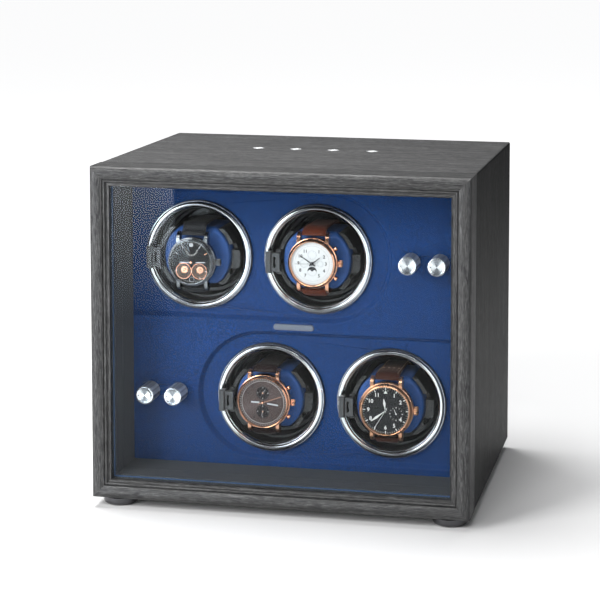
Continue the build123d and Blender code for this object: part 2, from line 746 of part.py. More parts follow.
def rotor_axles():
    """Steel axles pressed into the housings; the head keeps the cup on."""
    outline = [
        (0, CUP_FLOOR - 1.6), (5, CUP_FLOOR - 1.6), (5, CUP_FLOOR - 0.2), (AXLE_RADIUS, CUP_FLOOR - 0.2),
        (AXLE_RADIUS, HOUSING_REAR), (0, HOUSING_REAR),
    ]
    with BuildPart() as axles:
        for x, z in ROTORS.values():
            with BuildSketch(radial(x, z)):
                with BuildLine():
                    Polyline(*outline, close=True)
                make_face()
            revolve(axis=front_axis(x, z))
    save(axles.part, "rotor_axles")


def bezel_rings():
    """Bright rings with a rounded front, each running in to the cup's mouth."""
    seat = RECESS_FLOOR - COLLAR_THICK
    shoulder = seat - 0.6
    mouth = FACE + 5.8
    ring_middle = (BEZEL_RADIUS + BEZEL_MOUTH) / 2
    with BuildPart() as rings:
        for x, z in ROTORS.values():
            with BuildSketch(radial(x, z)):
                with BuildLine():
                    Line((BEZEL_RADIUS, seat), (BEZEL_RADIUS, shoulder))
                    ThreePointArc(
                        (BEZEL_RADIUS, shoulder), (ring_middle, seat - BEZEL_HEIGHT), (BEZEL_MOUTH, shoulder)
                    )
                    Polyline((BEZEL_MOUTH, shoulder), (BEZEL_MOUTH, mouth), (BEZEL_MOUTH + 1.0, mouth))
                    Polyline((BEZEL_MOUTH + 1.0, mouth), (BEZEL_MOUTH + 2.0, seat), (BEZEL_RADIUS, seat))
                make_face()
            revolve(axis=front_axis(x, z))
    save(rings.part, "bezel_rings")


def rotor_cup(number, x, z):
    """Stepped cup with the drive gear moulded on its back, turning on the steel axle."""
    rim = FACE + 6.8
    bore = AXLE_RADIUS + RUNNING
    outline = [
        (CUP_RADIUS, rim), (CUP_RADIUS, CUP_FIRST_STEP + CUP_WALL),
        (CUP_MIDDLE + CUP_WALL, CUP_FIRST_STEP + CUP_WALL),
        (CUP_MIDDLE + CUP_WALL, CUP_SECOND_STEP + CUP_WALL),
        (CUP_WELL + CUP_WALL, CUP_SECOND_STEP + CUP_WALL), (CUP_WELL + CUP_WALL, CUP_FLOOR_REAR),
        (bore, CUP_FLOOR_REAR), (bore, CUP_FLOOR), (CUP_WELL, CUP_FLOOR), (CUP_WELL, CUP_SECOND_STEP),
        (CUP_MIDDLE, CUP_SECOND_STEP), (CUP_MIDDLE, CUP_FIRST_STEP), (CUP_MOUTH, CUP_FIRST_STEP),
        (CUP_MOUTH, rim),
    ]
    tooth_gap_down = -pi / 2 + pi / GEAR_TEETH
    with BuildPart() as cup:
        with BuildSketch(radial(x, z)):
            with BuildLine():
                Polyline(*outline, close=True)
            make_face()
        revolve(axis=front_axis(x, z))
        with BuildSketch(facing_front(GEAR_REAR, x, z)):
            with BuildLine():
                draw_gear_outline(GEAR_TEETH, tooth_gap_down)
            make_face()
            Circle(bore, mode=Mode.SUBTRACT)
        extrude(amount=GEAR_REAR - CUP_FLOOR_REAR)
    save(cup.part, f"rotor_cup_{number}")


def motor_pinion(number, x, z):
    """Small gear pressed on the motor's output shaft, modelled in one with it."""
    with BuildPart() as pinion:
        with BuildSketch(facing_front(GEAR_REAR - 0.6, x, z - PINION_OFFSET)):
            with BuildLine():
                draw_gear_outline(PINION_TEETH, pi / 2)
            make_face()
        extrude(amount=GEAR_REAR - CUP_FLOOR_REAR - 1.2)
        with BuildSketch(facing_front(GEAR_REAR + 11, x, z - PINION_OFFSET)):
            Circle(MOTOR_SHAFT_RADIUS)
        extrude(amount=12)
    save(pinion.part, f"motor_pinion_{number}")


def gear_motors():
    """Four small geared motors, each fixed to the back of its housing."""
    with BuildPart() as motors:
        for x, z in ROTORS.values():
            with BuildSketch(facing_front(GEARBOX_REAR, x, z - PINION_OFFSET)):
                RectangleRounded(30, 26, 4)
            extrude(amount=GEARBOX_REAR - GEARBOX_FRONT)
            with BuildSketch(facing_front(GEARBOX_FRONT, x, z - PINION_OFFSET)):
                Circle(3.4)
            extrude(amount=HOUSING_REAR - HOUSING_FLOOR - 0.4)
            with BuildSketch(facing_front(GEARBOX_REAR + MOTOR_CAN, x, z - PINION_OFFSET)):
                Circle(10.0)
                Rectangle(30, 16, mode=Mode.INTERSECT)
            extrude(amount=MOTOR_CAN)
            with BuildSketch(facing_front(GEARBOX_FRONT + 8, x, z - PINION_OFFSET)):
                Circle(MOTOR_SHAFT_RADIUS + RUNNING)
            extrude(amount=12, mode=Mode.SUBTRACT)
    save(motors.part, "gear_motors")


def watch_holder(number, x, z):
    """Open cage: a back disc, two curved side walls, the latch arm and the right-hand stop."""
    latch_z = z - LATCH_DROP
    with BuildPart() as holder:
        with BuildSketch(facing_front(DISC_REAR, x, z)):
            Circle(HOLDER_DISC)
        extrude(amount=DISC_REAR - DISC_FRONT)
        with BuildSketch(facing_front(DISC_FRONT, x, z)):
            Circle(HOLDER_OUTER)
            Circle(HOLDER_INNER, mode=Mode.SUBTRACT)
            Rectangle(2 * HOLDER_OUTER, 2 * HOLDER_HALF_Z, mode=Mode.INTERSECT)
        extrude(amount=DISC_FRONT - HOLDER_FRONT)
        # Notch in the right wall, with a lower stop block standing in it
        with BuildSketch(facing_front(HOLDER_FRONT + 8, x + HOLDER_OUTER, latch_z)):
            Rectangle(10, 25)
        extrude(amount=10, mode=Mode.SUBTRACT)
        with BuildSketch(facing_front(HOLDER_FRONT + 9, x, z)):
            Circle(STOP_RADIUS)
            Circle(HOLDER_INNER, mode=Mode.SUBTRACT)
            with Locations((HOLDER_OUTER, -LATCH_DROP)):
                Rectangle(12, 15, mode=Mode.INTERSECT)
        extrude(amount=7)
        # Arm at the left, which carries the latch, with the slot that guides it
        with BuildSketch(facing_front(FACE + 2, x - ARM_CENTRE, latch_z)):
            RectangleRounded(4.4, 20, 1)
        extrude(amount=6)
        with BuildSketch(facing_front(FACE + 1.5, x - ARM_CENTRE, latch_z)):
            Rectangle(6.6, 4.6)
        extrude(amount=8, mode=Mode.SUBTRACT)
    save(holder.part, f"watch_holder_{number}")


def holder_latch(number, x, z):
    """Squeeze latch: a grip block in front of the ring, a windowed tongue and a guide rib."""
    grip_rear = FACE - 2.4
    grip_front = FACE - 9.0
    tongue_front = FACE - 7.4
    tongue_rear = FACE - 4.4
    latch_z = z - LATCH_DROP
    with BuildPart() as latch:
        with BuildSketch(facing_front(grip_rear, x - 38.8, latch_z)):
            Rectangle(4.8, 17.4)
        extrude(amount=grip_rear - grip_front)
        chamfer(latch.faces().sort_by(Axis.Y)[0].edges(), 0.8)
        with BuildSketch(facing_front(tongue_rear, x - 33.3, latch_z)):
            Rectangle(7.4, 15)
            with Locations((-0.6, 0)):
                SlotOverall(9, 2, rotation=90, mode=Mode.SUBTRACT)
        extrude(amount=tongue_rear - tongue_front)
        with BuildSketch(facing_front(FACE + 1, x - 32.6, latch_z)):
            Rectangle(3.0, 4)
        extrude(amount=6)
    save(latch.part, f"holder_latch_{number}")


def pillow(number, x, z):
    """Padded cushion: round seen from the front, flattened above and below."""
    with BuildPart() as cushion:
        with BuildSketch(facing_front(PILLOW_REAR, x, z)):
            Circle(PILLOW_RADIUS)
            Rectangle(2 * PILLOW_RADIUS, 2 * PILLOW_HALF_Z, mode=Mode.INTERSECT)
        extrude(amount=PILLOW_REAR - PILLOW_FRONT)
        fillet(cushion.edges().filter_by(Axis.X), PILLOW_ROUND)
    save(cushion.part, f"pillow_{number}")


def watch(number, x, z):
    """Watch strapped round the pillow: case with crown and lugs, and the closed strap."""
    radius = WATCH_RADII[number - 1]
    inner_depth = PILLOW_REAR - PILLOW_FRONT + 2 * STRAP_GAP
    inner_height = 2 * (PILLOW_HALF_Z + STRAP_GAP)
    middle_y = (PILLOW_FRONT + PILLOW_REAR) / 2
    with BuildPart() as wristwatch:
        with BuildSketch(Plane.YZ.offset(x - STRAP_HALF)):
            with Locations((middle_y, z)):
                RectangleRounded(inner_depth + 2 * STRAP_THICK, inner_height + 2 * STRAP_THICK, 6)
                RectangleRounded(inner_depth, inner_height, 4, mode=Mode.SUBTRACT)
        extrude(amount=2 * STRAP_HALF)
        with BuildSketch(facing_front(WATCH_REAR, x, z)):
            Circle(radius)
        extrude(amount=WATCH_REAR - WATCH_FRONT)
        with BuildSketch(facing_front(WATCH_REAR, x, z)):
            for side in (-1, 1):
                with Locations((side * (STRAP_HALF + 1.6), 0)):
                    Rectangle(2.6, 2 * radius + 8)
        extrude(amount=6)
        with BuildSketch(Plane.YZ.offset(x + radius - 1)):
            with Locations((WATCH_FRONT + 7, z)):
                Circle(3)
        extrude(amount=4.5)
    save(wristwatch.part, f"watch_{number}")


# ---------------------------------------------------------------- knobs
def mode_switches():
    """Four rotary switches behind the board, each with its threaded neck and front nut."""
    with BuildPart() as switches:
        for x, z in KNOBS.values():
            with BuildSketch(facing_front(SWITCH_REAR, x, z)):
                RectangleRounded(16, 16, 1.5)
            extrude(amount=SWITCH_REAR - FACE_REAR)
            with BuildSketch(facing_front(FACE_REAR, x, z)):
                Circle(4.5)
            extrude(amount=FACE_THICK)
            with BuildSketch(facing_front(FACE, x, z)):
                RegularPolygon(5.6, 6)
            extrude(amount=1.8)
            with BuildSketch(facing_front(FACE_REAR + 6, x, z)):
                Circle(KNOB_SHAFT + RUNNING)
            extrude(amount=30, mode=Mode.SUBTRACT)
    save(switches.part, "mode_switches")


def knob(number, x, z):
    """Spun-metal knob with its switch spindle, a rim step and an index dot."""
    with BuildPart() as grip:
        with BuildSketch(facing_front(FACE - 0.6, x, z)):
            Circle(KNOB_RADIUS)
        extrude(amount=FACE - 0.6 - KNOB_FRONT)
        chamfer(grip.faces().sort_by(Axis.Y)[0].edges(), 0.6)
        with BuildSketch(facing_front(FACE - 0.6, x, z)):
            Circle(6.3)
        extrude(amount=2.2, mode=Mode.SUBTRACT)
        with BuildSketch(facing_front(KNOB_FRONT, x - KNOB_RADIUS + 1.8, z)):
            Circle(0.5)
        extrude(amount=-0.3, mode=Mode.SUBTRACT)
        with BuildSketch(facing_front(FACE_REAR + 5, x, z)):
            Circle(KNOB_SHAFT)
        extrude(amount=FACE_REAR + 5 - FACE + 6)
    save(grip.part, f"knob_{number}")


# ---------------------------------------------------------------- build everything
for board_side in ("top", "bottom"):
    case_panel(f"{board_side}_panel", board_side)
    door_member(f"door_{board_side}_rail", board_side)
for board_side in ("left", "right"):
    case_panel(f"{board_side}_side_panel", board_side)
    door_member(f"door_{board_side}_stile", board_side)
top_inlays()
back_panel()
back_panel_screws()
compartment_lining()
face_board()
face_board_cleats()
badge_bar()
feet()
foot_pads()
dc_jack()
control_board()
wiring_loom()
door_glass()
glass_retainer()
hinge_leaves("hinge_case_leaves", "case")
hinge_leaves("hinge_door_leaves", "door")
hinge_pins()
door_magnets()
door_strike_plates()
rotor_housings()
rotor_axles()
bezel_rings()
gear_motors()
mode_switches()
for rotor_number, (rotor_x, rotor_z) in ROTORS.items():
    rotor_cup(rotor_number, rotor_x, rotor_z)
    motor_pinion(rotor_number, rotor_x, rotor_z)
    watch_holder(rotor_number, rotor_x, rotor_z)
    holder_latch(rotor_number, rotor_x, rotor_z)
    pillow(rotor_number, rotor_x, rotor_z)
    watch(rotor_number, rotor_x, rotor_z)
for knob_number, (knob_x, knob_z) in KNOBS.items():
    knob(knob_number, knob_x, knob_z)
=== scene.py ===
import math

import bmesh
import bpy
from mathutils import Matrix, Vector


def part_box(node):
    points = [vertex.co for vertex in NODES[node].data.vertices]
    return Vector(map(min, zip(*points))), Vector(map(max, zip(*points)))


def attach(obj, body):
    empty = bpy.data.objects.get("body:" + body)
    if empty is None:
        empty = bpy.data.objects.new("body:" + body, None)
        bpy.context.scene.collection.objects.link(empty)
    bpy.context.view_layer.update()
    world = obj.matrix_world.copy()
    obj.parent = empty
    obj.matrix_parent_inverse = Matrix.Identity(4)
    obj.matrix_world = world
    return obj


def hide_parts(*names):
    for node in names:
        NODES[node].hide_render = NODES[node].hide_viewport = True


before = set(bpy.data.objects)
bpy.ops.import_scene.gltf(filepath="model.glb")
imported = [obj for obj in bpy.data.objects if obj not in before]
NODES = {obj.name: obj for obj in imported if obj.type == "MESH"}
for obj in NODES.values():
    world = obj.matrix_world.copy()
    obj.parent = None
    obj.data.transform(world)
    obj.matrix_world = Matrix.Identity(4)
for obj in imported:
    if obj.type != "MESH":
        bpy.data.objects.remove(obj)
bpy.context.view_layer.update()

# Looks of the watch winder box. CAD nodes come from the frame; the pieces made here ride on its bodies.
# Shapes are drawn in millimetres and scaled by MM when a mesh is made.

MM = 0.001
ROTORS = (1, 2, 3, 4)


def centre_of(node):
    """Middle of a CAD node's box, in millimetres."""
    low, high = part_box(node)
    return (low + high) / 2 / MM


AXES = {n: centre_of(f"rotor_cup_{n}") for n in ROTORS}
KNOB_AXES = {n: centre_of(f"knob_{n}") for n in ROTORS}
FACE_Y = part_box("badge_bar")[1].y / MM
PILLOW_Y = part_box("pillow_1")[0].y / MM
KNOB_FRONT_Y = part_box("knob_1")[0].y / MM
WATCH_RISE = 2.5                 # the watches stand proud of the pillow's flat front by this much
LIFT_BASE = PILLOW_Y - WATCH_RISE


# ---------------------------------------------------------------- material helpers
def material(name, colour, metallic=0.0, roughness=0.5, extra=None):
    """A material with one main shader."""
    made = bpy.data.materials.new(name)
    made.use_nodes = True
    tree = made.node_tree
    tree.nodes.clear()
    shader = tree.nodes.new("ShaderNodeBsdfPrincipled")
    output = tree.nodes.new("ShaderNodeOutputMaterial")
    tree.links.new(shader.outputs["BSDF"], output.inputs["Surface"])
    shader.inputs["Base Color"].default_value = (*colour, 1.0)
    shader.inputs["Metallic"].default_value = metallic
    shader.inputs["Roughness"].default_value = roughness
    for key, value in (extra or {}).items():
        shader.inputs[key].default_value = value
    made.diffuse_color = (*colour, 1.0)
    return made


def main_shader(made):
    """The material's main shader node."""
    return next(n for n in made.node_tree.nodes if n.type == "BSDF_PRINCIPLED")


def add(made, kind, inputs=None, **settings):
    """Adds a node; inputs are values or sockets to link from."""
    node = made.node_tree.nodes.new(kind)
    for key, value in settings.items():
        setattr(node, key, value)
    for key, value in (inputs or {}).items():
        if isinstance(value, bpy.types.NodeSocket):
            made.node_tree.links.new(value, node.inputs[key])
        else:
            node.inputs[key].default_value = value
    return node


def plug(made, key, socket):
    """Links a socket to an input of the main shader."""
    made.node_tree.links.new(socket, main_shader(made).inputs[key])


def place(made, scale, stretch=(1, 1, 1)):
    """Object coordinates, scaled."""
    where = add(made, "ShaderNodeTexCoord").outputs["Object"]
    size = [scale * s for s in stretch]
    return add(made, "ShaderNodeMapping", {"Vector": where, "Scale": size}).outputs["Vector"]


def noise(made, scale, stretch=(1, 1, 1), detail=4.0, roughness=0.5, distortion=0.0):
    """Noise of a given scale per metre."""
    inputs = {
        "Vector": place(made, scale, stretch),
        "Scale": 1.0,
        "Detail": detail,
        "Roughness": roughness,
        "Distortion": distortion,
    }
    return add(made, "ShaderNodeTexNoise", inputs).outputs["Fac"]


def cells(made, scale):
    """Distance field of small cells."""
    inputs = {"Vector": place(made, scale), "Scale": 1.0}
    return add(made, "ShaderNodeTexVoronoi", inputs, feature="F1").outputs["Distance"]


def radial_noise(made, scale, detail, roughness):
    """Noise that changes only with the angle about the Y axis."""
    where = add(made, "ShaderNodeTexCoord").outputs["Object"]
    split = add(made, "ShaderNodeSeparateXYZ", {"Vector": where})
    angle = maths(made, "ARCTAN2", split.outputs["Z"], split.outputs["X"])
    inputs = {"W": angle, "Scale": scale, "Detail": detail, "Roughness": roughness}
    return add(made, "ShaderNodeTexNoise", inputs, noise_dimensions="1D").outputs["Fac"]


def radial_tangent(made):
    """Draws the highlight out as on a surface turned about the Y axis."""
    direction = add(made, "ShaderNodeTangent", direction_type="RADIAL", axis="Y")
    plug(made, "Tangent", direction.outputs["Tangent"])


def ramp(made, value, stops):
    """Colours or greys against a value."""
    node = add(made, "ShaderNodeValToRGB", {"Fac": value})
    elements = node.color_ramp.elements
    elements[0].position = stops[0][0]
    elements[1].position = stops[-1][0]
    for position, _ in stops[1:-1]:
        elements.new(position)
    for element, (_, shade) in zip(elements, stops):
        element.color = (*shade, 1.0) if isinstance(shade, tuple) else (shade, shade, shade, 1.0)
    return node.outputs["Color"]


def maths(made, operation, a, b=0.5):
    """One arithmetic step."""
    node = add(made, "ShaderNodeMath", operation=operation)
    for index, value in enumerate((a, b)):
        if isinstance(value, bpy.types.NodeSocket):
            made.node_tree.links.new(value, node.inputs[index])
        else:
            node.inputs[index].default_value = value
    return node.outputs["Value"]


def mixed(made, factor, a, b):
    """Mix of two colours."""
    node = add(made, "ShaderNodeMix", data_type="RGBA")
    for key, value in ((0, factor), (6, a), (7, b)):
        if isinstance(value, bpy.types.NodeSocket):
            made.node_tree.links.new(value, node.inputs[key])
        else:
            node.inputs[key].default_value = value if key == 0 else (*value, 1.0)
    return node.outputs[2]


def bump(made, height, strength, distance_mm, under=None):
    """Bump from a height value, on top of another bump if one is given."""
    inputs = {"Height": height, "Strength": strength, "Distance": distance_mm * MM}
    if under is not None:
        inputs["Normal"] = under
    normal = add(made, "ShaderNodeBump", inputs).outputs["Normal"]
    plug(made, "Normal", normal)
    return normal


# ---------------------------------------------------------------- materials
def veneer(name, grain, shade, shine=0.35):
    """Black open-grained veneer with fine lighter streaks along one axis."""
    long_grain = {"x": (1 / 26, 1, 1), "z": (1, 1, 1 / 26)}[grain]
    short_grain = {"x": (1 / 12, 1, 1), "z": (1, 1, 1 / 12)}[grain]
    made = material(name, (0.05, 0.05, 0.05), 0.0, 0.5, {"Specular IOR Level": shine})
    fine = noise(made, 3800, long_grain, 4.0, 0.75, 0.2)
    broad = noise(made, 420, long_grain, 3.0, 0.55, 0.5)
    streak = maths(made, "ADD", maths(made, "MULTIPLY", fine, 0.78), maths(made, "MULTIPLY", broad, 0.22))
    stops = [(0.36, 0.010 * shade), (0.47, 0.026 * shade), (0.54, 0.060 * shade), (0.63, 0.16 * shade)]
    tone = ramp(made, streak, stops)
    pores = noise(made, 1300, short_grain, 2.0, 0.5)
    open_pore = ramp(made, pores, [(0.34, 0.0), (0.46, 1.0)])
    plug(made, "Base Color", mixed(made, open_pore, (0.006, 0.006, 0.007), tone))
    plug(made, "Roughness", ramp(made, streak, [(0.35, 0.62), (0.65, 0.40)]))
    under = bump(made, streak, 0.55, 0.22)
    bump(made, open_pore, 0.4, 0.12, under)
    return made


def leatherette(name, dark, light, cell, rough, depth, shine):
    """Pebbled coated fabric: cells per metre, and the depth of the pebble in millimetres."""
    made = material(name, light, 0.0, rough, {"Specular IOR Level": shine, "Sheen Weight": 0.04})
    pebble = cells(made, cell)
    fold = noise(made, cell * 0.8, (1, 1, 1), 4.0, 0.65, 0.8)
    height = maths(made, "ADD", maths(made, "MULTIPLY", pebble, 0.6), maths(made, "MULTIPLY", fold, 0.7))
    patch = noise(made, 18, (1, 1, 1), 2.0)
    # The low parts of the pebble are made darker and the high parts lighter: painted shade in its hollows, on
    # top of the bump.
    tone = mixed(made, ramp(made, height, [(0.48, 0.0), (0.80, 1.0)]), dark, light)
    plug(made, "Base Color", mixed(made, maths(made, "MULTIPLY", patch, 0.2), tone, dark))
    plug(made, "Roughness", ramp(made, height, [(0.3, rough + 0.15), (0.9, rough - 0.08)]))
    bump(made, height, 0.7, depth)
    return made


def brushed(name, colour, rough):
    """Metal with fine scratches and slight smears."""
    made = material(name, colour, 1.0, rough)
    grain = noise(made, 5200, (1, 1, 1), 3.0, 0.6)
    smear = noise(made, 120, (1, 1, 1), 3.0, 0.5, 0.4)
    plug(made, "Roughness", ramp(made, smear, [(0.3, rough), (0.75, rough + 0.04)]))
    bump(made, grain, 0.06, 0.02)
    return made


def fan_lit(name, dark, light, rough, aniso, streaks):
    """Bright metal whose base colour is painted lighter to the left and right of the Y axis and darker above
    and below: painted highlight fans, as side lamps would light a turned surface.
    """
    made = material(name, light, 1.0, rough, {"Anisotropic": aniso})
    where = add(made, "ShaderNodeTexCoord").outputs["Object"]
    split = add(made, "ShaderNodeSeparateXYZ", {"Vector": where})
    # Painted highlight: lighter where x outweighs z, that is to the left and right of the axis, broken up by
    # radial streaks.
    across = maths(made, "MULTIPLY", split.outputs["X"], split.outputs["X"])
    upward = maths(made, "MULTIPLY", split.outputs["Z"], split.outputs["Z"])
    total = maths(made, "ADD", maths(made, "ADD", across, upward), 1e-9)
    share = maths(made, "DIVIDE", across, total)
    spoke = maths(made, "SUBTRACT", radial_noise(made, 9.0, 6.0, 0.7))
    painted_fan_mask = maths(made, "ADD", share, maths(made, "MULTIPLY", spoke, streaks))
    plug(made, "Base Color", mixed(made, ramp(made, painted_fan_mask, [(0.12, 0.0), (0.75, 1.0)]), dark, light))
    radial_tangent(made)
    grain = noise(made, 5200, (1, 1, 1), 3.0, 0.6)
    bump(made, grain, 0.05, 0.02)
    return made


def plastic(name, colour, rough, texture=2600, depth=0.03):
    """Moulded plastic with a fine spark-eroded texture."""
    made = material(name, colour, 0.0, rough, {"Specular IOR Level": 0.5})
    grain = noise(made, texture, (1, 1, 1), 3.0, 0.6)
    plug(made, "Roughness", ramp(made, grain, [(0.3, rough + 0.1), (0.7, rough - 0.06)]))
    bump(made, grain, 0.35, depth)
    return made


def clear(name, tint, strength):
    """Clear sheet: see-through, with a mirror reflection that grows towards grazing angles."""
    made = material(name, tint, 0.0, 0.02)
    tree = made.node_tree
    through = add(made, "ShaderNodeBsdfTransparent", {"Color": (*tint, 1.0)})
    shine = add(made, "ShaderNodeBsdfGlossy", {"Roughness": 0.0})
    facing = add(made, "ShaderNodeFresnel", {"IOR": 1.5})
    share = maths(made, "MULTIPLY", facing.outputs["Fac"], strength)
    mix = add(made, "ShaderNodeMixShader", {0: share, 1: through.outputs["BSDF"], 2: shine.outputs["BSDF"]})
    output = next(n for n in tree.nodes if n.type == "OUTPUT_MATERIAL")
    tree.links.new(mix.outputs["Shader"], output.inputs["Surface"])
    return made


def dial_finish(name, dark, light, rough, fans=0.0):
    """Lacquered dial; fans gives it a sunburst."""
    looks = {"Anisotropic": fans, "Specular IOR Level": 0.12}
    made = material(name, light, 0.45 if fans else 0.0, rough, looks)
    spoke = ramp(made, radial_noise(made, 22.0, 5.0, 0.7), [(0.3, 0.0), (0.7, 1.0)])
    plug(made, "Base Color", mixed(made, spoke, dark, light))
    if fans:
        radial_tangent(made)
    return made


def banded(name, dark, light, rough):
    """Bright metal side whose base colour has light and dark bands painted round the Y axis: painted
    reflections.
    """
    made = material(name, light, 0.5, rough)
    # Painted reflections: light and dark bands that change at random with the angle round the axis.
    painted_band_mask = ramp(made, radial_noise(made, 2.2, 4.0, 0.6), [(0.40, 0.0), (0.58, 1.0)])
    plug(made, "Base Color", mixed(made, painted_band_mask, dark, light))
    bump(made, noise(made, 5200, (1, 0.1, 1), 3.0, 0.6), 0.05, 0.02)
    return made


# The shade numbers make lit and shaded copies of one veneer: the top is lighter (painted light) and the side
# panels much darker (painted shade); the door rails and the bottom panel are a little darker than the stiles
# (painted shade). The raw wood of the cleats is a lighter wood of its own.
VENEER_X = veneer("veneer_x", "x", 0.8)
VENEER_Z = veneer("veneer_z", "z", 0.95)
VENEER_TOP_PAINTED_LIGHT = veneer("veneer_top_painted_light", "x", 1.2)
VENEER_SIDE_PAINTED_SHADE = veneer("veneer_side_painted_shade", "z", 0.26, 0.08)
BACK_BOARD = leatherette("back_board", (0.012, 0.012, 0.012), (0.03, 0.03, 0.031), 900, 0.6, 0.1, 0.4)
RAW_WOOD = veneer("raw_wood", "x", 3.0)
LINING = leatherette("lining", (0.022, 0.023, 0.025), (0.07, 0.072, 0.078), 1500, 0.62, 0.08, 0.3)
BLUE = leatherette("face_leather", (0.0015, 0.014, 0.054), (0.008, 0.053, 0.212), 950, 0.5, 0.2, 0.08)
PILLOW_BLUE = leatherette("pillow_blue", (0.006, 0.034, 0.13), (0.020, 0.100, 0.36), 1500, 0.5, 0.12, 0.3)
# Blue of the strip at the pane's edge: a painted reflection.
EDGE_STRIP_PAINTED_REFLECTION = plastic("lip_piping", (0.05, 0.11, 0.24), 0.35, 2000, 0.02)
RING_CHROME_PAINTED_FANS = fan_lit("ring_chrome_painted_fans", (0.16, 0.16, 0.17), (0.80, 0.81, 0.82), 0.16, 0.4, 0.15)
FOOT_METAL = brushed("foot_metal", (0.09, 0.09, 0.095), 0.12)
INLAY = brushed("inlay_metal", (0.80, 0.81, 0.82), 0.55)
BRIGHT = brushed("bright_metal", (0.14, 0.15, 0.18), 0.45)
KNOB_SIDE_PAINTED_BANDS = banded("knob_side_painted_bands", (0.16, 0.16, 0.17), (0.85, 0.85, 0.86), 0.3)
SPUN_PAINTED_FANS = fan_lit("spun_aluminium", (0.22, 0.23, 0.25), (0.90, 0.91, 0.92), 0.26, 0.5, 0.5)
RUBBER = plastic("rubber", (0.010, 0.010, 0.010), 0.75, 1500, 0.06)
BLACK = plastic("black_plastic", (0.010, 0.010, 0.011), 0.36)
HOLDER_BLACK = plastic("holder_black", (0.006, 0.006, 0.0065), 0.26, 2600, 0.012)
GREY = plastic("latch_plastic", (0.040, 0.041, 0.044), 0.34)
CUP_BLACK = plastic("cup_black", (0.004, 0.004, 0.0045), 0.42, 1800, 0.008)
BOARD_GREEN = plastic("circuit_board", (0.012, 0.09, 0.035), 0.35)
LEAD = plastic("lead_insulation", (0.25, 0.02, 0.02), 0.4)
STEEL = brushed("steel", (0.55, 0.55, 0.56), 0.25)
BRASS = brushed("hinge_brass", (0.62, 0.43, 0.18), 0.28)
MAGNET = brushed("magnet", (0.60, 0.60, 0.62), 0.12)
MOTOR = brushed("motor_metal", (0.50, 0.50, 0.50), 0.32)
SWITCH = brushed("switch_metal", (0.58, 0.58, 0.56), 0.3)
GLASS = clear("glass", (0.96, 0.98, 0.985), 0.14)
CRYSTAL = clear("crystal", (0.98, 0.98, 0.99), 0.28)
WATCH_STEEL = brushed("watch_steel", (0.16, 0.165, 0.175), 0.15)
ROSE = brushed("rose_gold", (0.70, 0.36, 0.23), 0.16)
BRONZE = brushed("bronze", (0.66, 0.34, 0.20), 0.26)
COPPER = brushed("copper_gears", (0.13, 0.075, 0.05), 0.5)
SILVER = brushed("silver_marks", (0.50, 0.50, 0.51), 0.3)
WHITE_INK = material("white_ink", (0.80, 0.80, 0.76), 0.0, 0.5)
BLACK_INK = material("black_ink", (0.006, 0.006, 0.008), 0.0, 0.35)
DIAL_BLACK = dial_finish("dial_black", (0.006, 0.006, 0.007), (0.016, 0.015, 0.016), 0.4)
DIAL_WHITE = dial_finish("dial_white", (0.74, 0.74, 0.73), (0.82, 0.82, 0.81), 0.45)
DIAL_BROWN = dial_finish("dial_brown", (0.045, 0.032, 0.030), (0.12, 0.085, 0.080), 0.36, 0.8)
STRAP_BLACK = leatherette("strap_black", (0.006, 0.006, 0.007), (0.020, 0.020, 0.023), 1600, 0.5, 0.10, 0.2)
STRAP_TAN = leatherette("strap_tan", (0.050, 0.012, 0.006), (0.14, 0.028, 0.011), 1100, 0.5, 0.14, 0.1)
STRAP_DARK = leatherette("strap_dark", (0.012, 0.006, 0.006), (0.016, 0.008, 0.007), 900, 0.5, 0.14, 0.1)
STRAP_BROWN = leatherette("strap_brown", (0.030, 0.010, 0.006), (0.050, 0.014, 0.008), 1300, 0.5, 0.12, 0.1)
THREAD_DARK = material("thread_dark", (0.02, 0.02, 0.022), 0.0, 0.7)
THREAD_TAN = material("thread_tan", (0.16, 0.06, 0.035), 0.0, 0.7)
THREAD_LIGHT = material("thread_light", (0.34, 0.22, 0.16), 0.0, 0.7)


# ---------------------------------------------------------------- mesh helpers
def dress(names, finish):
    """Gives CAD nodes their material."""
    for name in names:
        mesh = NODES[name].data
        mesh.materials.clear()
        mesh.materials.append(finish)


def soften(name, width, segments=2, angle=32):
    """Rounds a CAD node's sharp edges with modifiers, so that they catch the light."""
    piece = NODES[name]
    for key in ("custom_normal", "sharp_edge", "sharp_face"):
        found = piece.data.attributes.get(key)
        if found:
            piece.data.attributes.remove(found)
    piece.data.shade_smooth()
    weld = piece.modifiers.new("weld", "WELD")
    weld.merge_threshold = 0.001 * MM
    round_off(piece, width, segments, angle)


def round_off(piece, width, segments=2, angle=32):
    """Bevels the edges sharper than an angle."""
    bevel = piece.modifiers.new("edges", "BEVEL")
    bevel.width = width * MM
    bevel.segments = segments
    bevel.limit_method = "ANGLE"
    bevel.angle_limit = math.radians(angle)
    bevel.harden_normals = True


def add_object(name, data):
    """A new object in the scene."""
    made = bpy.data.objects.new(name, data)
    bpy.context.scene.collection.objects.link(made)
    return made


def piece_from(mesh, name, finishes, body, node=None, origin=(0, 0, 0), sharp=38, sheet=False):
    """Turns a bmesh drawn in millimetres about origin into a piece that rides on a body.

    A sheet is an open surface; its faces are made to look towards the viewer.
    """
    bmesh.ops.recalc_face_normals(mesh, faces=mesh.faces)
    if sheet and sum(face.normal.y for face in mesh.faces) > 0:
        bmesh.ops.reverse_faces(mesh, faces=mesh.faces)
    bmesh.ops.scale(mesh, vec=(MM, MM, MM), verts=mesh.verts)
    data = bpy.data.meshes.new(name)
    mesh.to_mesh(data)
    mesh.free()
    data.shade_smooth()
    data.set_sharp_from_angle(angle=math.radians(sharp))
    for finish in finishes:
        data.materials.append(finish)
    piece = add_object(name, data)
    piece.location = Vector(origin) * MM
    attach(piece, body)
    if node:
        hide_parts(node)
    return piece


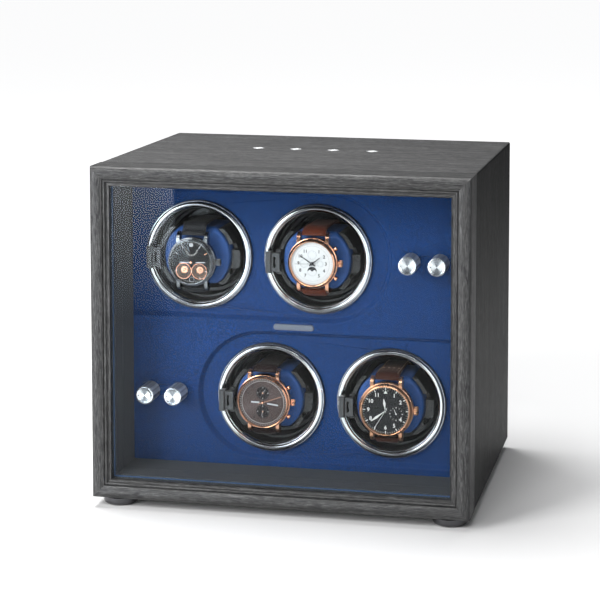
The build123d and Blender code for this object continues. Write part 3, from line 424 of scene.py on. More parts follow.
def turn(mesh, profile, steps=96, closed=True, index=0, middle=(0, 0)):
    """Turns (radius, lift) points about the front-to-back axis. Lift is towards the viewer."""
    x, z = middle
    tips = {i: mesh.verts.new((x, -h, z)) for i, (r, h) in enumerate(profile) if r == 0}
    rows = []
    for k in range(steps):
        a = 2 * math.pi * k / steps
        row = []
        for i, (r, h) in enumerate(profile):
            spot = (x + r * math.cos(a), -h, z + r * math.sin(a))
            row.append(tips[i] if i in tips else mesh.verts.new(spot))
        rows.append(row)
    count = len(profile) if closed else len(profile) - 1
    for k in range(steps):
        here, there = rows[k], rows[(k + 1) % steps]
        for i in range(count):
            j = (i + 1) % len(profile)
            corners = list(dict.fromkeys([here[i], here[j], there[j], there[i]]))
            if len(corners) > 2:
                mesh.faces.new(corners).material_index = index


def plate(mesh, one, two, ends, index):
    """Closed plate between two outlines of vertices; ends are its two large faces."""
    faces = [mesh.faces.new(end) for end in ends]
    for k in range(len(one)):
        j = (k + 1) % len(one)
        faces.append(mesh.faces.new([one[k], one[j], two[j], two[k]]))
    for face in faces:
        face.material_index = index


def prism(mesh, outline, low, high, index=0):
    """Plate with an outline of (x, z) points between two lifts."""
    back = [mesh.verts.new((x, -low, z)) for x, z in outline]
    front = [mesh.verts.new((x, -high, z)) for x, z in outline]
    plate(mesh, back, front, (front, back[::-1]), index)


def slab(mesh, outline, left, right):
    """Plate with an outline of (z, lift) points between two x values."""
    one = [mesh.verts.new((left, -h, z)) for z, h in outline]
    two = [mesh.verts.new((right, -h, z)) for z, h in outline]
    plate(mesh, one, two, (one, two[::-1]), 0)


FLUTE_DEPTH = 0.28
SMOOTH_RADIUS = 1.6              # rings no wider than this aren't fluted


def spindle(mesh, start, direction, profile, steps=24, flutes=0):
    """Turned shape of (distance, radius) points along a direction; flutes cut its rim."""
    way = Vector(direction).normalized()
    side = way.orthogonal().normalized()
    up = way.cross(side)
    count = flutes * 4 if flutes else steps
    rings = []
    for distance, radius in profile:
        ring = []
        for k in range(count):
            a = 2 * math.pi * k / count
            cut = flutes and k % 4 in (2, 3) and radius > SMOOTH_RADIUS
            r = radius - (FLUTE_DEPTH if cut else 0.0)
            out = side * math.cos(a) + up * math.sin(a)
            ring.append(mesh.verts.new(Vector(start) + way * distance + out * r))
        rings.append(ring)
    for one, two in zip(rings, rings[1:]):
        for k in range(count):
            j = (k + 1) % count
            mesh.faces.new([one[k], one[j], two[j], two[k]])
    for ring in (rings[0], rings[-1]):
        mesh.faces.new(ring)


def polar(radius, hour):
    """Point on a dial at a clock position."""
    a = math.radians(90 - hour * 30)
    return radius * math.cos(a), radius * math.sin(a)


def bar(mesh, hour, inner, outer, width, low, high, index=0, tip=None, middle=(0, 0)):
    """Straight mark or hand that points to a clock position; tip is its width at the far end."""
    a = math.radians(90 - hour * 30)
    far = width if tip is None else tip
    outline = []
    for along, across in ((inner, -width / 2), (outer, -far / 2), (outer, far / 2), (inner, width / 2)):
        x = middle[0] + along * math.cos(a) - across * math.sin(a)
        z = middle[1] + along * math.sin(a) + across * math.cos(a)
        outline.append((x, z))
    prism(mesh, outline, low, high, index)


def hoop(mesh, inner, outer, low, high, index=0, middle=(0, 0), steps=72):
    """Flat ring."""
    turn(mesh, [(inner, low), (outer, low), (outer, high), (inner, high)], steps, True, index, middle)


def coin(mesh, radius, low, high, index=0, middle=(0, 0), steps=72):
    """Flat disc."""
    turn(mesh, [(0, low), (radius, low), (radius, high), (0, high)], steps, False, index, middle)


def glyphs(mesh, text, size, x, z, low, high, index=0):
    """Digits centred at a point of a dial."""
    curve = bpy.data.curves.new("digits", "FONT")
    curve.body = text
    curve.size = size
    curve.align_x = "CENTER"
    curve.align_y = "CENTER"
    curve.resolution_u = 3
    curve.offset = 0.022 * size
    holder = add_object("digits", curve)
    bpy.context.view_layer.update()
    flat = bpy.data.meshes.new_from_object(holder)
    for polygon in flat.polygons:
        outline = [flat.vertices[v].co for v in polygon.vertices]
        prism(mesh, [(x + p.x, z + p.y) for p in outline], low, high, index)
    bpy.data.objects.remove(holder)
    bpy.data.curves.remove(curve)
    bpy.data.meshes.remove(flat)


# ---------------------------------------------------------------- CAD nodes
dress(("top_panel",), VENEER_TOP_PAINTED_LIGHT)
dress(("bottom_panel", "door_top_rail", "door_bottom_rail"), VENEER_X)
dress(("door_left_stile", "door_right_stile"), VENEER_Z)
dress(("left_side_panel", "right_side_panel"), VENEER_SIDE_PAINTED_SHADE)
for board in ("top_panel", "bottom_panel", "left_side_panel", "right_side_panel"):
    soften(board, 0.3)
for member in ("door_top_rail", "door_bottom_rail", "door_left_stile", "door_right_stile"):
    soften(member, 0.22)
dress(("back_panel",), BACK_BOARD)
dress(("compartment_lining", "glass_retainer"), LINING)
dress(("face_board",), BLUE)
soften("face_board", 0.7, 3)
dress(("face_board_cleats",), RAW_WOOD)
dress(("badge_bar",), BRIGHT)
dress(("top_inlays",), INLAY)
dress(("feet",), FOOT_METAL)
dress(("foot_pads",), RUBBER)
dress(("dc_jack", "rotor_housings"), BLACK)
dress(("control_board",), BOARD_GREEN)
dress(("wiring_loom",), LEAD)
dress(("hinge_case_leaves", "hinge_door_leaves"), BRASS)
dress(("hinge_pins", "rotor_axles", "back_panel_screws", "door_strike_plates"), STEEL)
dress(("door_magnets",), MAGNET)
dress(("gear_motors",), MOTOR)
dress(("mode_switches",), SWITCH)
dress(("door_glass",), GLASS)
for n in ROTORS:
    dress((f"motor_pinion_{n}",), BRASS)
    dress((f"watch_holder_{n}",), HOLDER_BLACK)
    dress((f"holder_latch_{n}",), GREY)
    soften(f"watch_holder_{n}", 0.35)
    soften(f"holder_latch_{n}", 0.35)


# ---------------------------------------------------------------- blue strip at the pane's edge: painted reflection
EDGE_STRIP_INSET = 16.02             # in from the outer edge of the frame
EDGE_STRIP_WIDTH = 0.30
EDGE_STRIP_DEPTH = 1.9
EDGE_STRIP_GAP = 0.05                # behind the retainer's front, so that the two don't share a surface


def lip_piping():
    """Thin blue strip along the front inner edge of the frame that holds the pane: a painted reflection along
    the pane's edge.
    """
    door_low, door_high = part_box("door_top_rail")
    outer = (door_high.x - door_low.x) / 2 / MM - EDGE_STRIP_INSET
    inner = outer - EDGE_STRIP_WIDTH
    top = door_high.z / MM - EDGE_STRIP_INSET
    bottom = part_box("door_bottom_rail")[0].z / MM + EDGE_STRIP_INSET
    front = -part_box("glass_retainer")[0].y / MM - EDGE_STRIP_GAP
    mesh = bmesh.new()
    for x0, x1, z0, z1 in (
        (-outer, -inner, bottom, top),
        (inner, outer, bottom, top),
        (-inner, inner, top - EDGE_STRIP_WIDTH, top),
        (-inner, inner, bottom, bottom + EDGE_STRIP_WIDTH),
    ):
        prism(mesh, [(x0, z0), (x1, z0), (x1, z1), (x0, z1)], front - EDGE_STRIP_DEPTH, front)
    piece_from(mesh, "lip_piping", [EDGE_STRIP_PAINTED_REFLECTION], "door", None)


lip_piping()


# ---------------------------------------------------------------- cups, rings, knobs
STEP_RADII = (31, 42)            # the cup's step edges lie between these radii
STEP_FROM = -6                   # and in front of this y
STEP_FOLD = 60                   # and fold by more than this angle


def rotor_cup(number):
    """The cup with its step edges rounded."""
    x, _, z = AXES[number]
    mesh = bmesh.new()
    mesh.from_mesh(NODES[f"rotor_cup_{number}"].data)
    bmesh.ops.scale(mesh, vec=(1 / MM,) * 3, verts=mesh.verts)
    bmesh.ops.translate(mesh, vec=(-x, 0, -z), verts=mesh.verts)
    bmesh.ops.remove_doubles(mesh, verts=mesh.verts, dist=0.001)
    edges = []
    for edge in mesh.edges:
        radii = [math.hypot(v.co.x, v.co.z) for v in edge.verts]
        depths = [v.co.y for v in edge.verts]
        level = abs(depths[0] - depths[1]) < 0.01 and abs(radii[0] - radii[1]) < 0.01
        near = STEP_RADII[0] < radii[0] < STEP_RADII[1] and depths[0] < STEP_FROM
        if level and near and edge.calc_face_angle(0) > math.radians(STEP_FOLD):
            edges.append(edge)
    bmesh.ops.bevel(mesh, geom=edges, offset=0.6, segments=3, profile=0.5, affect="EDGES")
    piece_from(mesh, f"rotor_cup_turned_{number}", [CUP_BLACK], f"rotor_{number}",
               f"rotor_cup_{number}", (x, 0, z), 30)


BEZEL_OUTER, BEZEL_INNER = 44.7, 39.2


def bezel_ring(number):
    """Polished ring: a fine outer step, a half-round crown, an inner step and a short throat."""
    x, _, z = AXES[number]
    nose = -(FACE_Y - 1.2)
    seat = nose - 3.0
    outer, inner = BEZEL_OUTER, BEZEL_INNER
    profile = [(outer, seat), (outer, seat + 0.7), (outer - 0.15, seat + 0.9), (outer - 0.35, seat + 0.9)]
    middle, reach = (outer - 0.4 + inner + 0.5) / 2, (outer - inner - 0.9) / 2
    for k in range(17):
        a = math.pi * k / 16
        profile.append((middle + reach * math.cos(a), seat + 0.9 + (nose - seat - 0.9) * math.sin(a)))
    profile += [(inner + 0.2, seat + 0.8), (inner, seat + 0.6), (inner, nose - 7.0)]
    profile += [(inner + 1.0, nose - 7.0), (inner + 2.0, seat)]
    mesh = bmesh.new()
    turn(mesh, profile, 160)
    piece_from(mesh, f"bezel_ring_{number}", [RING_CHROME_PAINTED_FANS], "case", "bezel_rings", (x, 0, z), 50)


KNOB_SIDE_FROM = 7.2             # faces further out than this have the finish of the side


def knob(number):
    """Spun knob: shallow dished end, bead at the rim, straight side and a narrow foot."""
    x, _, z = KNOB_AXES[number]
    tip = -KNOB_FRONT_Y
    foot = -FACE_Y + 0.6
    profile = [(0, tip - 0.35), (2.0, tip - 0.33), (4.2, tip - 0.25), (5.9, tip - 0.12), (6.1, tip - 0.02)]
    profile += [(6.5, tip), (6.95, tip - 0.06), (7.25, tip - 0.25), (7.45, tip - 0.6), (7.5, tip - 1.0)]
    profile += [(7.5, tip - 12.6), (7.35, tip - 12.85), (7.35, tip - 13.2), (7.5, tip - 13.4)]
    profile += [(7.5, foot + 0.4), (7.2, foot), (6.3, foot), (6.3, foot + 2.2), (3.0, foot + 2.2)]
    profile += [(3.0, foot - 15.5), (0, foot - 15.5)]
    mesh = bmesh.new()
    turn(mesh, profile, 96, False)
    for face in mesh.faces:
        middle = face.calc_center_median()
        if math.hypot(middle.x, middle.z) > KNOB_SIDE_FROM:
            face.material_index = 2
    coin(mesh, 0.5, tip - 0.2, tip - 0.02, 1, (-5.2, 0), 20)
    piece_from(mesh, f"knob_turned_{number}", [SPUN_PAINTED_FANS, BLACK_INK, KNOB_SIDE_PAINTED_BANDS], f"knob_{number}",
               f"knob_{number}", (x, 0, z), 40)


for n in ROTORS:
    rotor_cup(n)
    bezel_ring(n)
    knob(n)


# ---------------------------------------------------------------- pillows
def baked(piece):
    """A piece's mesh with its modifiers applied."""
    graph = bpy.context.evaluated_depsgraph_get()
    return bpy.data.meshes.new_from_object(piece.evaluated_get(graph))


PILLOW_SHRINK = 0.985            # room for the cloth to swell into
VOXEL = 2.0
STRAP_HOLD = 9.5                 # the strap holds the cloth this far either side of the middle
SWELL_LIMIT = 2.2
PILLOW_REACH = 28.9              # keeps the swollen pillow inside its holder
CLOTH_FRAMES = 20


def pillow_mesh():
    """One padded cushion about its own axis, blown up as cloth where the strap doesn't hold it."""
    x, _, z = AXES[1]
    source = NODES["pillow_1"].data.copy()
    source.transform(Matrix.Translation((-x * MM, -centre_of("pillow_1").y * MM, -z * MM)))
    source.transform(Matrix.Scale(PILLOW_SHRINK, 4))
    cushion = add_object("pillow_source", source)
    remesh = cushion.modifiers.new("voxels", "REMESH")
    remesh.mode = "VOXEL"
    remesh.voxel_size = VOXEL * MM
    bpy.context.view_layer.update()
    solid = baked(cushion)
    cushion.modifiers.clear()
    cushion.data = solid
    rest = [v.co.copy() for v in solid.vertices]
    held = cushion.vertex_groups.new(name="held")
    held.add([i for i, p in enumerate(rest) if abs(p.x) < STRAP_HOLD * MM], 1.0, "REPLACE")
    cloth = cushion.modifiers.new("cloth", "CLOTH")
    cloth.settings.use_pressure = True
    cloth.settings.uniform_pressure_force = 4.0
    cloth.settings.vertex_group_mass = "held"
    cloth.settings.effector_weights.gravity = 0.0
    cloth.settings.quality = 6
    cloth.settings.mass = 0.2
    scene = bpy.context.scene
    for number in range(1, CLOTH_FRAMES + 1):
        scene.frame_set(number)
    blown = baked(cushion)
    cushion.modifiers.clear()
    cushion.data = blown
    scene.frame_set(1)
    cap = SWELL_LIMIT * MM
    reach = PILLOW_REACH * MM
    for vertex, before in zip(blown.vertices, rest):
        move = vertex.co - before
        if move.length > cap:
            move = move.normalized() * cap
        spot = before + move
        radius = math.hypot(spot.x, spot.z)
        if radius > reach:
            spot = Vector((spot.x * reach / radius, spot.y, spot.z * reach / radius))
        vertex.co = spot
    smooth = cushion.modifiers.new("smooth", "SUBSURF")
    smooth.levels = smooth.render_levels = 1
    bpy.context.view_layer.update()
    final = baked(cushion)
    bpy.data.objects.remove(cushion)
    final.shade_smooth()
    final.materials.clear()
    final.materials.append(PILLOW_BLUE)
    return final


PILLOW_MESH = pillow_mesh()
for n in ROTORS:
    cushion_piece = add_object(f"pillow_soft_{n}", PILLOW_MESH)
    cushion_piece.location = Vector((AXES[n].x, centre_of(f"pillow_{n}").y, AXES[n].z)) * MM
    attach(cushion_piece, f"holder_{n}")
    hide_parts(f"pillow_{n}")


# ---------------------------------------------------------------- watches
CASE_FOOT = 1.0
DIAL_LIFT = 11.2
DIAL_FACE = DIAL_LIFT - 0.4
CRYSTAL_TOP = 13.75
CRYSTAL_DROP = 0.75              # from the crystal's middle to its rim
LUG_HALF = 10.3                  # half the gap between a pair of lugs
LUG = [(-5, 3.2), (-5, 9.4), (-1, 9.5), (1.6, 8.6), (3.6, 6.4), (4.2, 4.0), (3.6, 2.9), (1, 2.6)]
STRAP_TOP = 26.2                 # where the strap runs over the pillow, above its middle
STRAP_BACK = 45.4                # where it turns round the back of the pillow
STRAP_MIDDLE = 20                # depth of the middle of the strap's loop
STRAP_THICK = 1.5
PADDED_SHARE = 0.13              # the padding fades out over this share of the strap
PLACE = {1: (-0.4, -2.6), 2: (-0.1, 0.3), 3: (-1.6, 1.0), 4: (-0.7, -0.2)}    # how each watch was laid


def watch_piece(mesh, number, part, finishes, sharp=38, sheet=False):
    """One piece of a watch, about the watch's own centre."""
    x, _, z = AXES[number]
    across, up = PLACE[number]
    return piece_from(mesh, f"watch_{number}_{part}", finishes, f"holder_{number}",
                      f"watch_{number}", (x + across, LIFT_BASE, z + up), sharp, sheet)


def watch_case(number, radius, opening, metal, buttons, bezel_step, crown_size):
    """Case with its bezel, lugs, crown and push buttons."""
    mesh = bmesh.new()
    r = radius
    profile = [(0, CASE_FOOT), (r - 3, CASE_FOOT), (r - 1.2, 2.2), (r - 0.25, 4.2), (r, 5.5), (r, 9.2),
               (r - 0.15, 9.6), (r - 0.7, 9.8), (r - 0.7, 10.2), (r - 0.5, 10.6), (r - 0.75, 11.6)]
    if bezel_step:
        profile += [(r - 1.2, 12.1), (r - 1.6, 12.15), (r - 1.65, 12.5), (r - 2.1, 13.0)]
    else:
        profile += [(r - 1.3, 12.4), (r - 2.0, 12.9)]
    profile += [(opening + 0.5, 13.2), (opening + 0.1, 13.0), (opening, 12.6), (opening - 0.5, DIAL_LIFT)]
    turn(mesh, profile, 144, False)
    for side in (-1, 1):
        for end in (-1, 1):
            lug = [(end * (r + out), lift) for out, lift in LUG]
            inner, outer = side * LUG_HALF, side * (LUG_HALF + 2.8)
            slab(mesh, lug, min(inner, outer), max(inner, outer))
    crown = [(-1.5, 1.3), (0.5, 1.3), (0.5, crown_size - 0.4), (0.9, crown_size), (3.4, crown_size),
             (3.9, crown_size - 0.5), (4.1, crown_size - 1.4)]
    spindle(mesh, (r - 0.2, -7.0, 0), (1, 0, 0), crown, flutes=16)
    for hour in buttons:
        bx, bz = polar(r - 0.4, hour)
        button = [(-1.2, 1.1), (1.2, 1.1), (1.2, 1.75), (1.5, 1.95), (2.9, 1.95), (3.3, 1.5)]
        spindle(mesh, (bx, -7.0, bz), (bx, 0, bz), button)
    body = watch_piece(mesh, number, "case", [metal])
    round_off(body, 0.22, 2, 40)


def watch_crystal(number, opening):
    """Low dome over the dial."""
    mesh = bmesh.new()
    profile = [(0, CRYSTAL_TOP)]
    for k in range(1, 9):
        r = (opening + 0.2) * k / 8
        profile.append((r, CRYSTAL_TOP - CRYSTAL_DROP * (k / 8) ** 3))
    turn(mesh, profile, 72, False)
    watch_piece(mesh, number, "crystal", [CRYSTAL], 80, True)


def strap_path(radius, up):
    """Loop of (depth, height) points, from the upper lugs over the pillow to the lower lugs.

    The heights are about the watch, which sits up above the pillow's own middle.
    """
    loop = []
    for side in (1, -1):
        top = STRAP_TOP - side * up
        back = STRAP_BACK + WATCH_RISE
        half_loop = [(-4.6, radius + 0.9), (-4.0, radius + 2.6), (-2.2, radius + 3.9)]
        half_loop += [(0.6, max(radius + 4.4, top - 0.4)), (5.0, top + 0.4), (12, top + 0.5), (22, top + 0.3)]
        half_loop += [(34, top), (back - 6.4, top - 0.8), (back - 1.9, top - 3.6), (back, top - 9)]
        loop.append([(depth, side * height) for depth, height in half_loop])
    return loop[0] + [(back, -up)] + loop[1][::-1]


def sample(points, count):
    """Evenly spaced points of a smooth curve through the given ones, with their tangents."""
    dense = []
    for k in range(len(points) - 1):
        p0 = Vector(points[max(k - 1, 0)])
        p1, p2 = Vector(points[k]), Vector(points[k + 1])
        p3 = Vector(points[min(k + 2, len(points) - 1)])
        for s in range(16):
            t = s / 16
            dense.append(0.5 * (2 * p1 + (p2 - p0) * t + (2 * p0 - 5 * p1 + 4 * p2 - p3) * t * t
                                + (3 * p1 - p0 - 3 * p2 + p3) * t ** 3))
    dense.append(Vector(points[-1]))
    lengths = [0.0]
    for one, two in zip(dense, dense[1:]):
        lengths.append(lengths[-1] + (two - one).length)
    found = []
    index = 0
    for k in range(count):
        want = lengths[-1] * k / (count - 1)
        while index < len(dense) - 2 and lengths[index + 1] < want:
            index += 1
        span = max(lengths[index + 1] - lengths[index], 1e-6)
        t = (want - lengths[index]) / span
        found.append((dense[index].lerp(dense[index + 1], t), (dense[index + 1] - dense[index]).normalized()))
    return found, lengths[-1]


def strap_section(point, tangent, share, half, padded):
    """Outward direction, thickness and half width of a strap a share of the way along it."""
    near_lug = max(0.0, 1 - min(share, 1 - share) / PADDED_SHARE)
    normal = Vector((tangent.y, -tangent.x))
    if normal.dot(Vector((point.x - STRAP_MIDDLE, point.y))) < 0:
        normal = -normal
    return normal, STRAP_THICK + padded * near_lug, half * (1 - 0.06 * (1 - near_lug))


def watch_strap(number, radius, half, leather, thread, padded, rivets=False):
    """Padded leather strap with folded ends, raised middle and two rows of stitches."""
    mesh = bmesh.new()
    count = 120
    up = PLACE[number][1]
    path, length = sample(strap_path(radius, up), count)
    across = [-1.0, -0.985, -0.9, -0.82, -0.7, -0.35, 0.0, 0.35, 0.7, 0.82, 0.9, 0.985, 1.0]
    rows = []
    for k, (point, tangent) in enumerate(path):
        normal, thick, width = strap_section(point, tangent, k / (count - 1), half, padded)
        ring = []
        for a in across:
            crown = thick * (1 - 0.25 * abs(a) ** 4) * (1.0 if abs(a) < 0.86 else 0.72)
            if abs(a) > 0.99:
                crown = 0.35 * thick
            spot = point + normal * crown
            ring.append(mesh.verts.new((a * width, spot.x, spot.y)))
        inner = [mesh.verts.new((a * width, point.x, point.y)) for a in (0.98, 0.5, 0.0, -0.5, -0.98)]
        rows.append(ring + inner)
    size = len(rows[0])
    for one, two in zip(rows, rows[1:]):
        for k in range(size):
            j = (k + 1) % size
            mesh.faces.new([one[k], one[j], two[j], two[k]])
    mesh.faces.new(rows[0])
    mesh.faces.new(rows[-1])
    watch_piece(mesh, number, "strap", [leather], 60)
    seam = bmesh.new()
    pitch = 3.1
    stitches = int(length / pitch)
    fine, _ = sample(strap_path(radius, up), stitches * 4 + 1)
    for k in range(1, stitches - 1):
        point, tangent = fine[k * 4 + 2]
        normal, thick, width = strap_section(point, tangent, k / stitches, half, padded)
        for side in (-1, 1):
            spot = point + normal * (thick * 0.86)
            start = Vector((side * width * 0.85, spot.x - tangent.x * 1.0, spot.y - tangent.y * 1.0))
            way = (0, tangent.x, tangent.y)
            spindle(seam, start, way, [(0, 0.10), (0.25, 0.24), (1.75, 0.24), (2.0, 0.10)], 8)
    if rivets:
        for share in (0.085, 0.125):
            for side in (-1, -0.33, 0.33, 1):
                point, tangent = fine[int(share * stitches * 4)]
                normal = Vector((-tangent.y, tangent.x))
                if normal.y < 0:
                    normal = -normal
                spot = point + normal * 1.4
                start = (side * half * 0.62, spot.x, spot.y)
                spindle(seam, start, (0, normal.x, normal.y), [(0, 0.9), (0.35, 0.9), (0.6, 0.5)], 12)
    watch_piece(seam, number, "stitches", [thread], 60)


def hand(mesh, hour, length, width, lift, index, tail=2.0, tip=0.3, shape="baton"):
    """Watch hand."""
    if shape == "sword":
        bar(mesh, hour, -tail, length * 0.3, 0.7, lift, lift + 0.2, index)
        bar(mesh, hour, length * 0.3, length * 0.62, 0.8, lift, lift + 0.22, index, width)
        bar(mesh, hour, length * 0.62, length, width, lift, lift + 0.22, index, tip)
    else:
        bar(mesh, hour, -tail, length, width, lift, lift + 0.2, index, tip if shape == "taper" else width)


def track(mesh, radius, size, width, lift, index, count=60, skip=0):
    """Ring of short marks; every fifth may be left out."""
    for k in range(count):
        if skip and k % skip == 0:
            continue
        bar(mesh, k * 12 / count, radius - size, radius, width, lift, lift + 0.06, index)


def gear_wheel(mesh, radius, middle, lift, index, spokes=5):
    """Small skeleton wheel: rim with teeth, spokes and a hub."""
    hoop(mesh, radius - 0.9, radius, lift, lift + 0.35, index, middle, 48)
    teeth = 30
    low, high = lift + 0.05, lift + 0.3
    for k in range(teeth):
        bar(mesh, k * 12 / teeth, radius - 0.1, radius + 0.45, 0.45, low, high, index, None, middle)
    for k in range(spokes):
        bar(mesh, k * 12 / spokes + 0.4, 0.4, radius - 0.7, 0.6, low, high, index, None, middle)
    hoop(mesh, radius * 0.42, radius * 0.56, lift + 0.1, lift + 0.45, index, middle, 40)
    coin(mesh, 0.6, lift, lift + 0.6, index, middle, 24)


def dial_one(opening):
    """Black dial with two open wheels below and a half-round scale above."""
    mesh = bmesh.new()
    finishes = [DIAL_BLACK, SILVER, COPPER, WHITE_INK, ROSE, BLACK_INK]
    base = DIAL_FACE
    coin(mesh, opening, base - 0.4, base, 0)
    track(mesh, opening - 0.5, 0.8, 0.16, base, 3)
    for hour in (1, 2, 4, 5, 8, 10, 11):
        bar(mesh, hour, opening - 4.0, opening - 1.6, 0.55, base, base + 0.3, 1 if hour != 2 else 4)
    scale_at = (0.3, 10.4)
    for k in range(11):
        hour = 3.2 + k * 0.56
        bar(mesh, hour, 4.1, 5.4, 0.28, base, base + 0.22, 3, None, scale_at)
    gear_wheel(mesh, 1.1, (0.3, 14.2), base + 0.05, 1, 3)
    for x in (-6.2, 6.8):
        coin(mesh, 6.4, base + 0.01, base + 0.05, 5, (x, -7.2))
        hoop(mesh, 6.1, 6.5, base, base + 0.5, 4, (x, -7.2))
        gear_wheel(mesh, 5.0, (x, -7.2), base + 0.1, 2)
        gear_wheel(mesh, 2.4, (x + 0.8, -6.0), base + 0.5, 4, 3)
    hoop(mesh, 1.9, 2.05, base, base + 0.2, 1, (0.4, -14.2))
    hand(mesh, 9.0, 9.5, 0.6, base + 1.0, 1, -1.5)
    hand(mesh, 2.95, 12.0, 0.6, base + 1.0, 1, -4.2)
    coin(mesh, 0.9, base, base + 1.5, 4)
    return mesh, finishes


def dial_two(opening):
    """White dial with digits, small scales and a dark aperture below."""
    mesh = bmesh.new()
    finishes = [DIAL_WHITE, BLACK_INK, material("grey_print", (0.30, 0.30, 0.32), 0, 0.5), SILVER]
    base = DIAL_FACE
    coin(mesh, opening, base - 0.4, base, 0)
    track(mesh, opening - 1.2, 0.55, 0.28, base, 2)
    track(mesh, opening - 3.1, 0.5, 0.2, base, 2, 120)
    for hour in (1, 2, 3, 4, 5, 7, 8, 9, 10, 11):
        x, z = polar(opening - 6.3, hour)
        glyphs(mesh, str(hour), 3.7, x, z, base, base + 0.1, 1)
    for middle, r in (((0, 7.0), 3.6), ((-6.6, 0), 3.4), ((6.6, 0), 2.6)):
        hoop(mesh, r - 0.12, r, base, base + 0.06, 2, middle)
        for k in range(12):
            bar(mesh, k, r - 0.9, r - 0.3, 0.16, base, base + 0.06, 2, None, middle)
    hand(mesh, 7.3, 2.6, 0.3, base + 0.2, 1, 0.6)
    arch = [(3.7 * math.cos(math.pi * k / 16), 3.7 * math.sin(math.pi * k / 16) - 6.2) for k in range(17)]
    prism(mesh, arch, base, base + 0.08, 1)
    coin(mesh, 1.1, base + 0.08, base + 0.12, 0, (-2.0, -6.2), 24)
    coin(mesh, 1.1, base + 0.08, base + 0.12, 0, (2.0, -6.2), 24)
    hoop(mesh, 3.7, 3.85, base, base + 0.1, 2, (0, -6.2))
    hand(mesh, 10.1, 11.5, 0.95, base + 0.9, 1, 3.2, 0.4, "taper")
    hand(mesh, 1.75, 8.2, 1.1, base + 1.15, 1, 2.6, 0.5, "taper")
    hand(mesh, 8.95, 14.0, 0.18, base + 1.4, 1, 3.0)
    coin(mesh, 1.4, base, base + 1.7, 1)
    return mesh, finishes


def dial_three(opening):
    """Brown sunburst dial with two dark small dials."""
    mesh = bmesh.new()
    dark = dial_finish("dial_dark", (0.010, 0.008, 0.008), (0.022, 0.017, 0.017), 0.35)
    finishes = [DIAL_BROWN, dark, SILVER, ROSE, WHITE_INK]
    base = DIAL_FACE
    coin(mesh, opening, base - 0.4, base, 0)
    hoop(mesh, opening - 2.5, opening - 2.35, base, base + 0.08, 4)
    track(mesh, opening - 0.5, 1.2, 0.2, base, 4)
    for hour in (1, 2, 4, 5, 7, 8, 10, 11):
        bar(mesh, hour, opening - 7.0, opening - 3.2, 0.5, base, base + 0.35, 1 if hour % 3 else 3)
    for z in (7.6, -7.6):
        coin(mesh, 5.3, base + 0.01, base + 0.1, 1, (0, z))
        hoop(mesh, 5.2, 5.45, base, base + 0.25, 1, (0, z))
        for k in range(12):
            bar(mesh, k, 3.9, 4.7, 0.3, base + 0.1, base + 0.2, 4 if k % 3 == 0 else 1, None, (0, z))
        hand(mesh, 0, 0.1, 0.1, base + 0.1, 2)
        bar(mesh, 1.2 if z > 0 else 6.6, -1.0, 3.6, 0.35, base + 0.25, base + 0.4, 2, 0.2, (0, z))
        coin(mesh, 0.6, base, base + 0.55, 3, (0, z), 20)
    hand(mesh, 9.05, 9.5, 1.2, base + 0.9, 2, -2.6)
    hand(mesh, 3.25, 13.2, 1.1, base + 1.1, 2, -4.0)
    hand(mesh, 2.35, 17.0, 0.25, base + 1.35, 3, 4.0)
    coin(mesh, 0.9, base, base + 1.7, 3)
    return mesh, finishes


def dial_four(opening):
    """Black dial with white digits, a triangle at twelve and a small dial."""
    mesh = bmesh.new()
    finishes = [DIAL_BLACK, WHITE_INK, BLACK_INK]
    base = DIAL_FACE
    coin(mesh, opening, base - 0.4, base, 0)
    track(mesh, opening - 0.4, 1.1, 0.22, base, 1, 60, 5)
    for hour in range(12):
        bar(mesh, hour, opening - 2.5, opening - 0.4, 0.75, base, base + 0.12, 1)
    for hour in (1, 2, 4, 5, 6, 8, 9, 10, 11):
        x, z = polar(opening - 5.1, hour)
        glyphs(mesh, str(hour), 4.3, x, z, base, base + 0.12, 1)
    z = opening - 4.2
    prism(mesh, [(-1.6, z - 1.2), (1.6, z - 1.2), (0, z + 1.4)], base, base + 0.12, 1)
    for side in (-1, 1):
        coin(mesh, 0.32, base, base + 0.12, 1, (side * 1.9, z + 1.0), 16)
    small = (8.6, -2.4)
    hoop(mesh, 5.9, 6.0, base, base + 0.1, 2, small)
    for k in range(12):
        bar(mesh, k, 4.6, 5.4 if k % 3 else 5.6, 0.3 if k % 3 else 0.5, base, base + 0.1, 1, None, small)
    bar(mesh, 11.2, -0.8, 4.0, 0.5, base + 0.3, base + 0.45, 1, 0.25, small)
    coin(mesh, 0.5, base, base + 0.5, 1, small, 20)
    hand(mesh, 11.75, 9.6, 2.1, base + 0.9, 1, 1.5, 0.4, "sword")
    hand(mesh, 7.75, 14.8, 2.0, base + 1.15, 1, 1.5, 0.4, "sword")
    hand(mesh, 7.05, 16.4, 0.3, base + 1.4, 1, 3.0)
    bar(mesh, 7.05, 13.6, 16.8, 0.3, base + 1.4, base + 1.6, 1, 0.9)
    coin(mesh, 1.1, base, base + 1.8, 2)
    coin(mesh, 0.5, base + 1.8, base + 1.9, 1)
    return mesh, finishes


def watch(number, radius, opening, metal, dial, leather, thread, padded, crown,
          buttons=(), step=False, rivets=False):
    """A watch with its dial, crystal and strap."""
    watch_case(number, radius, opening, metal, buttons, step, crown)
    shape, finishes = dial(opening)
    watch_piece(shape, number, "dial", finishes)
    watch_crystal(number, opening)
    watch_strap(number, radius, LUG_HALF - 0.3, leather, thread, padded, rivets)


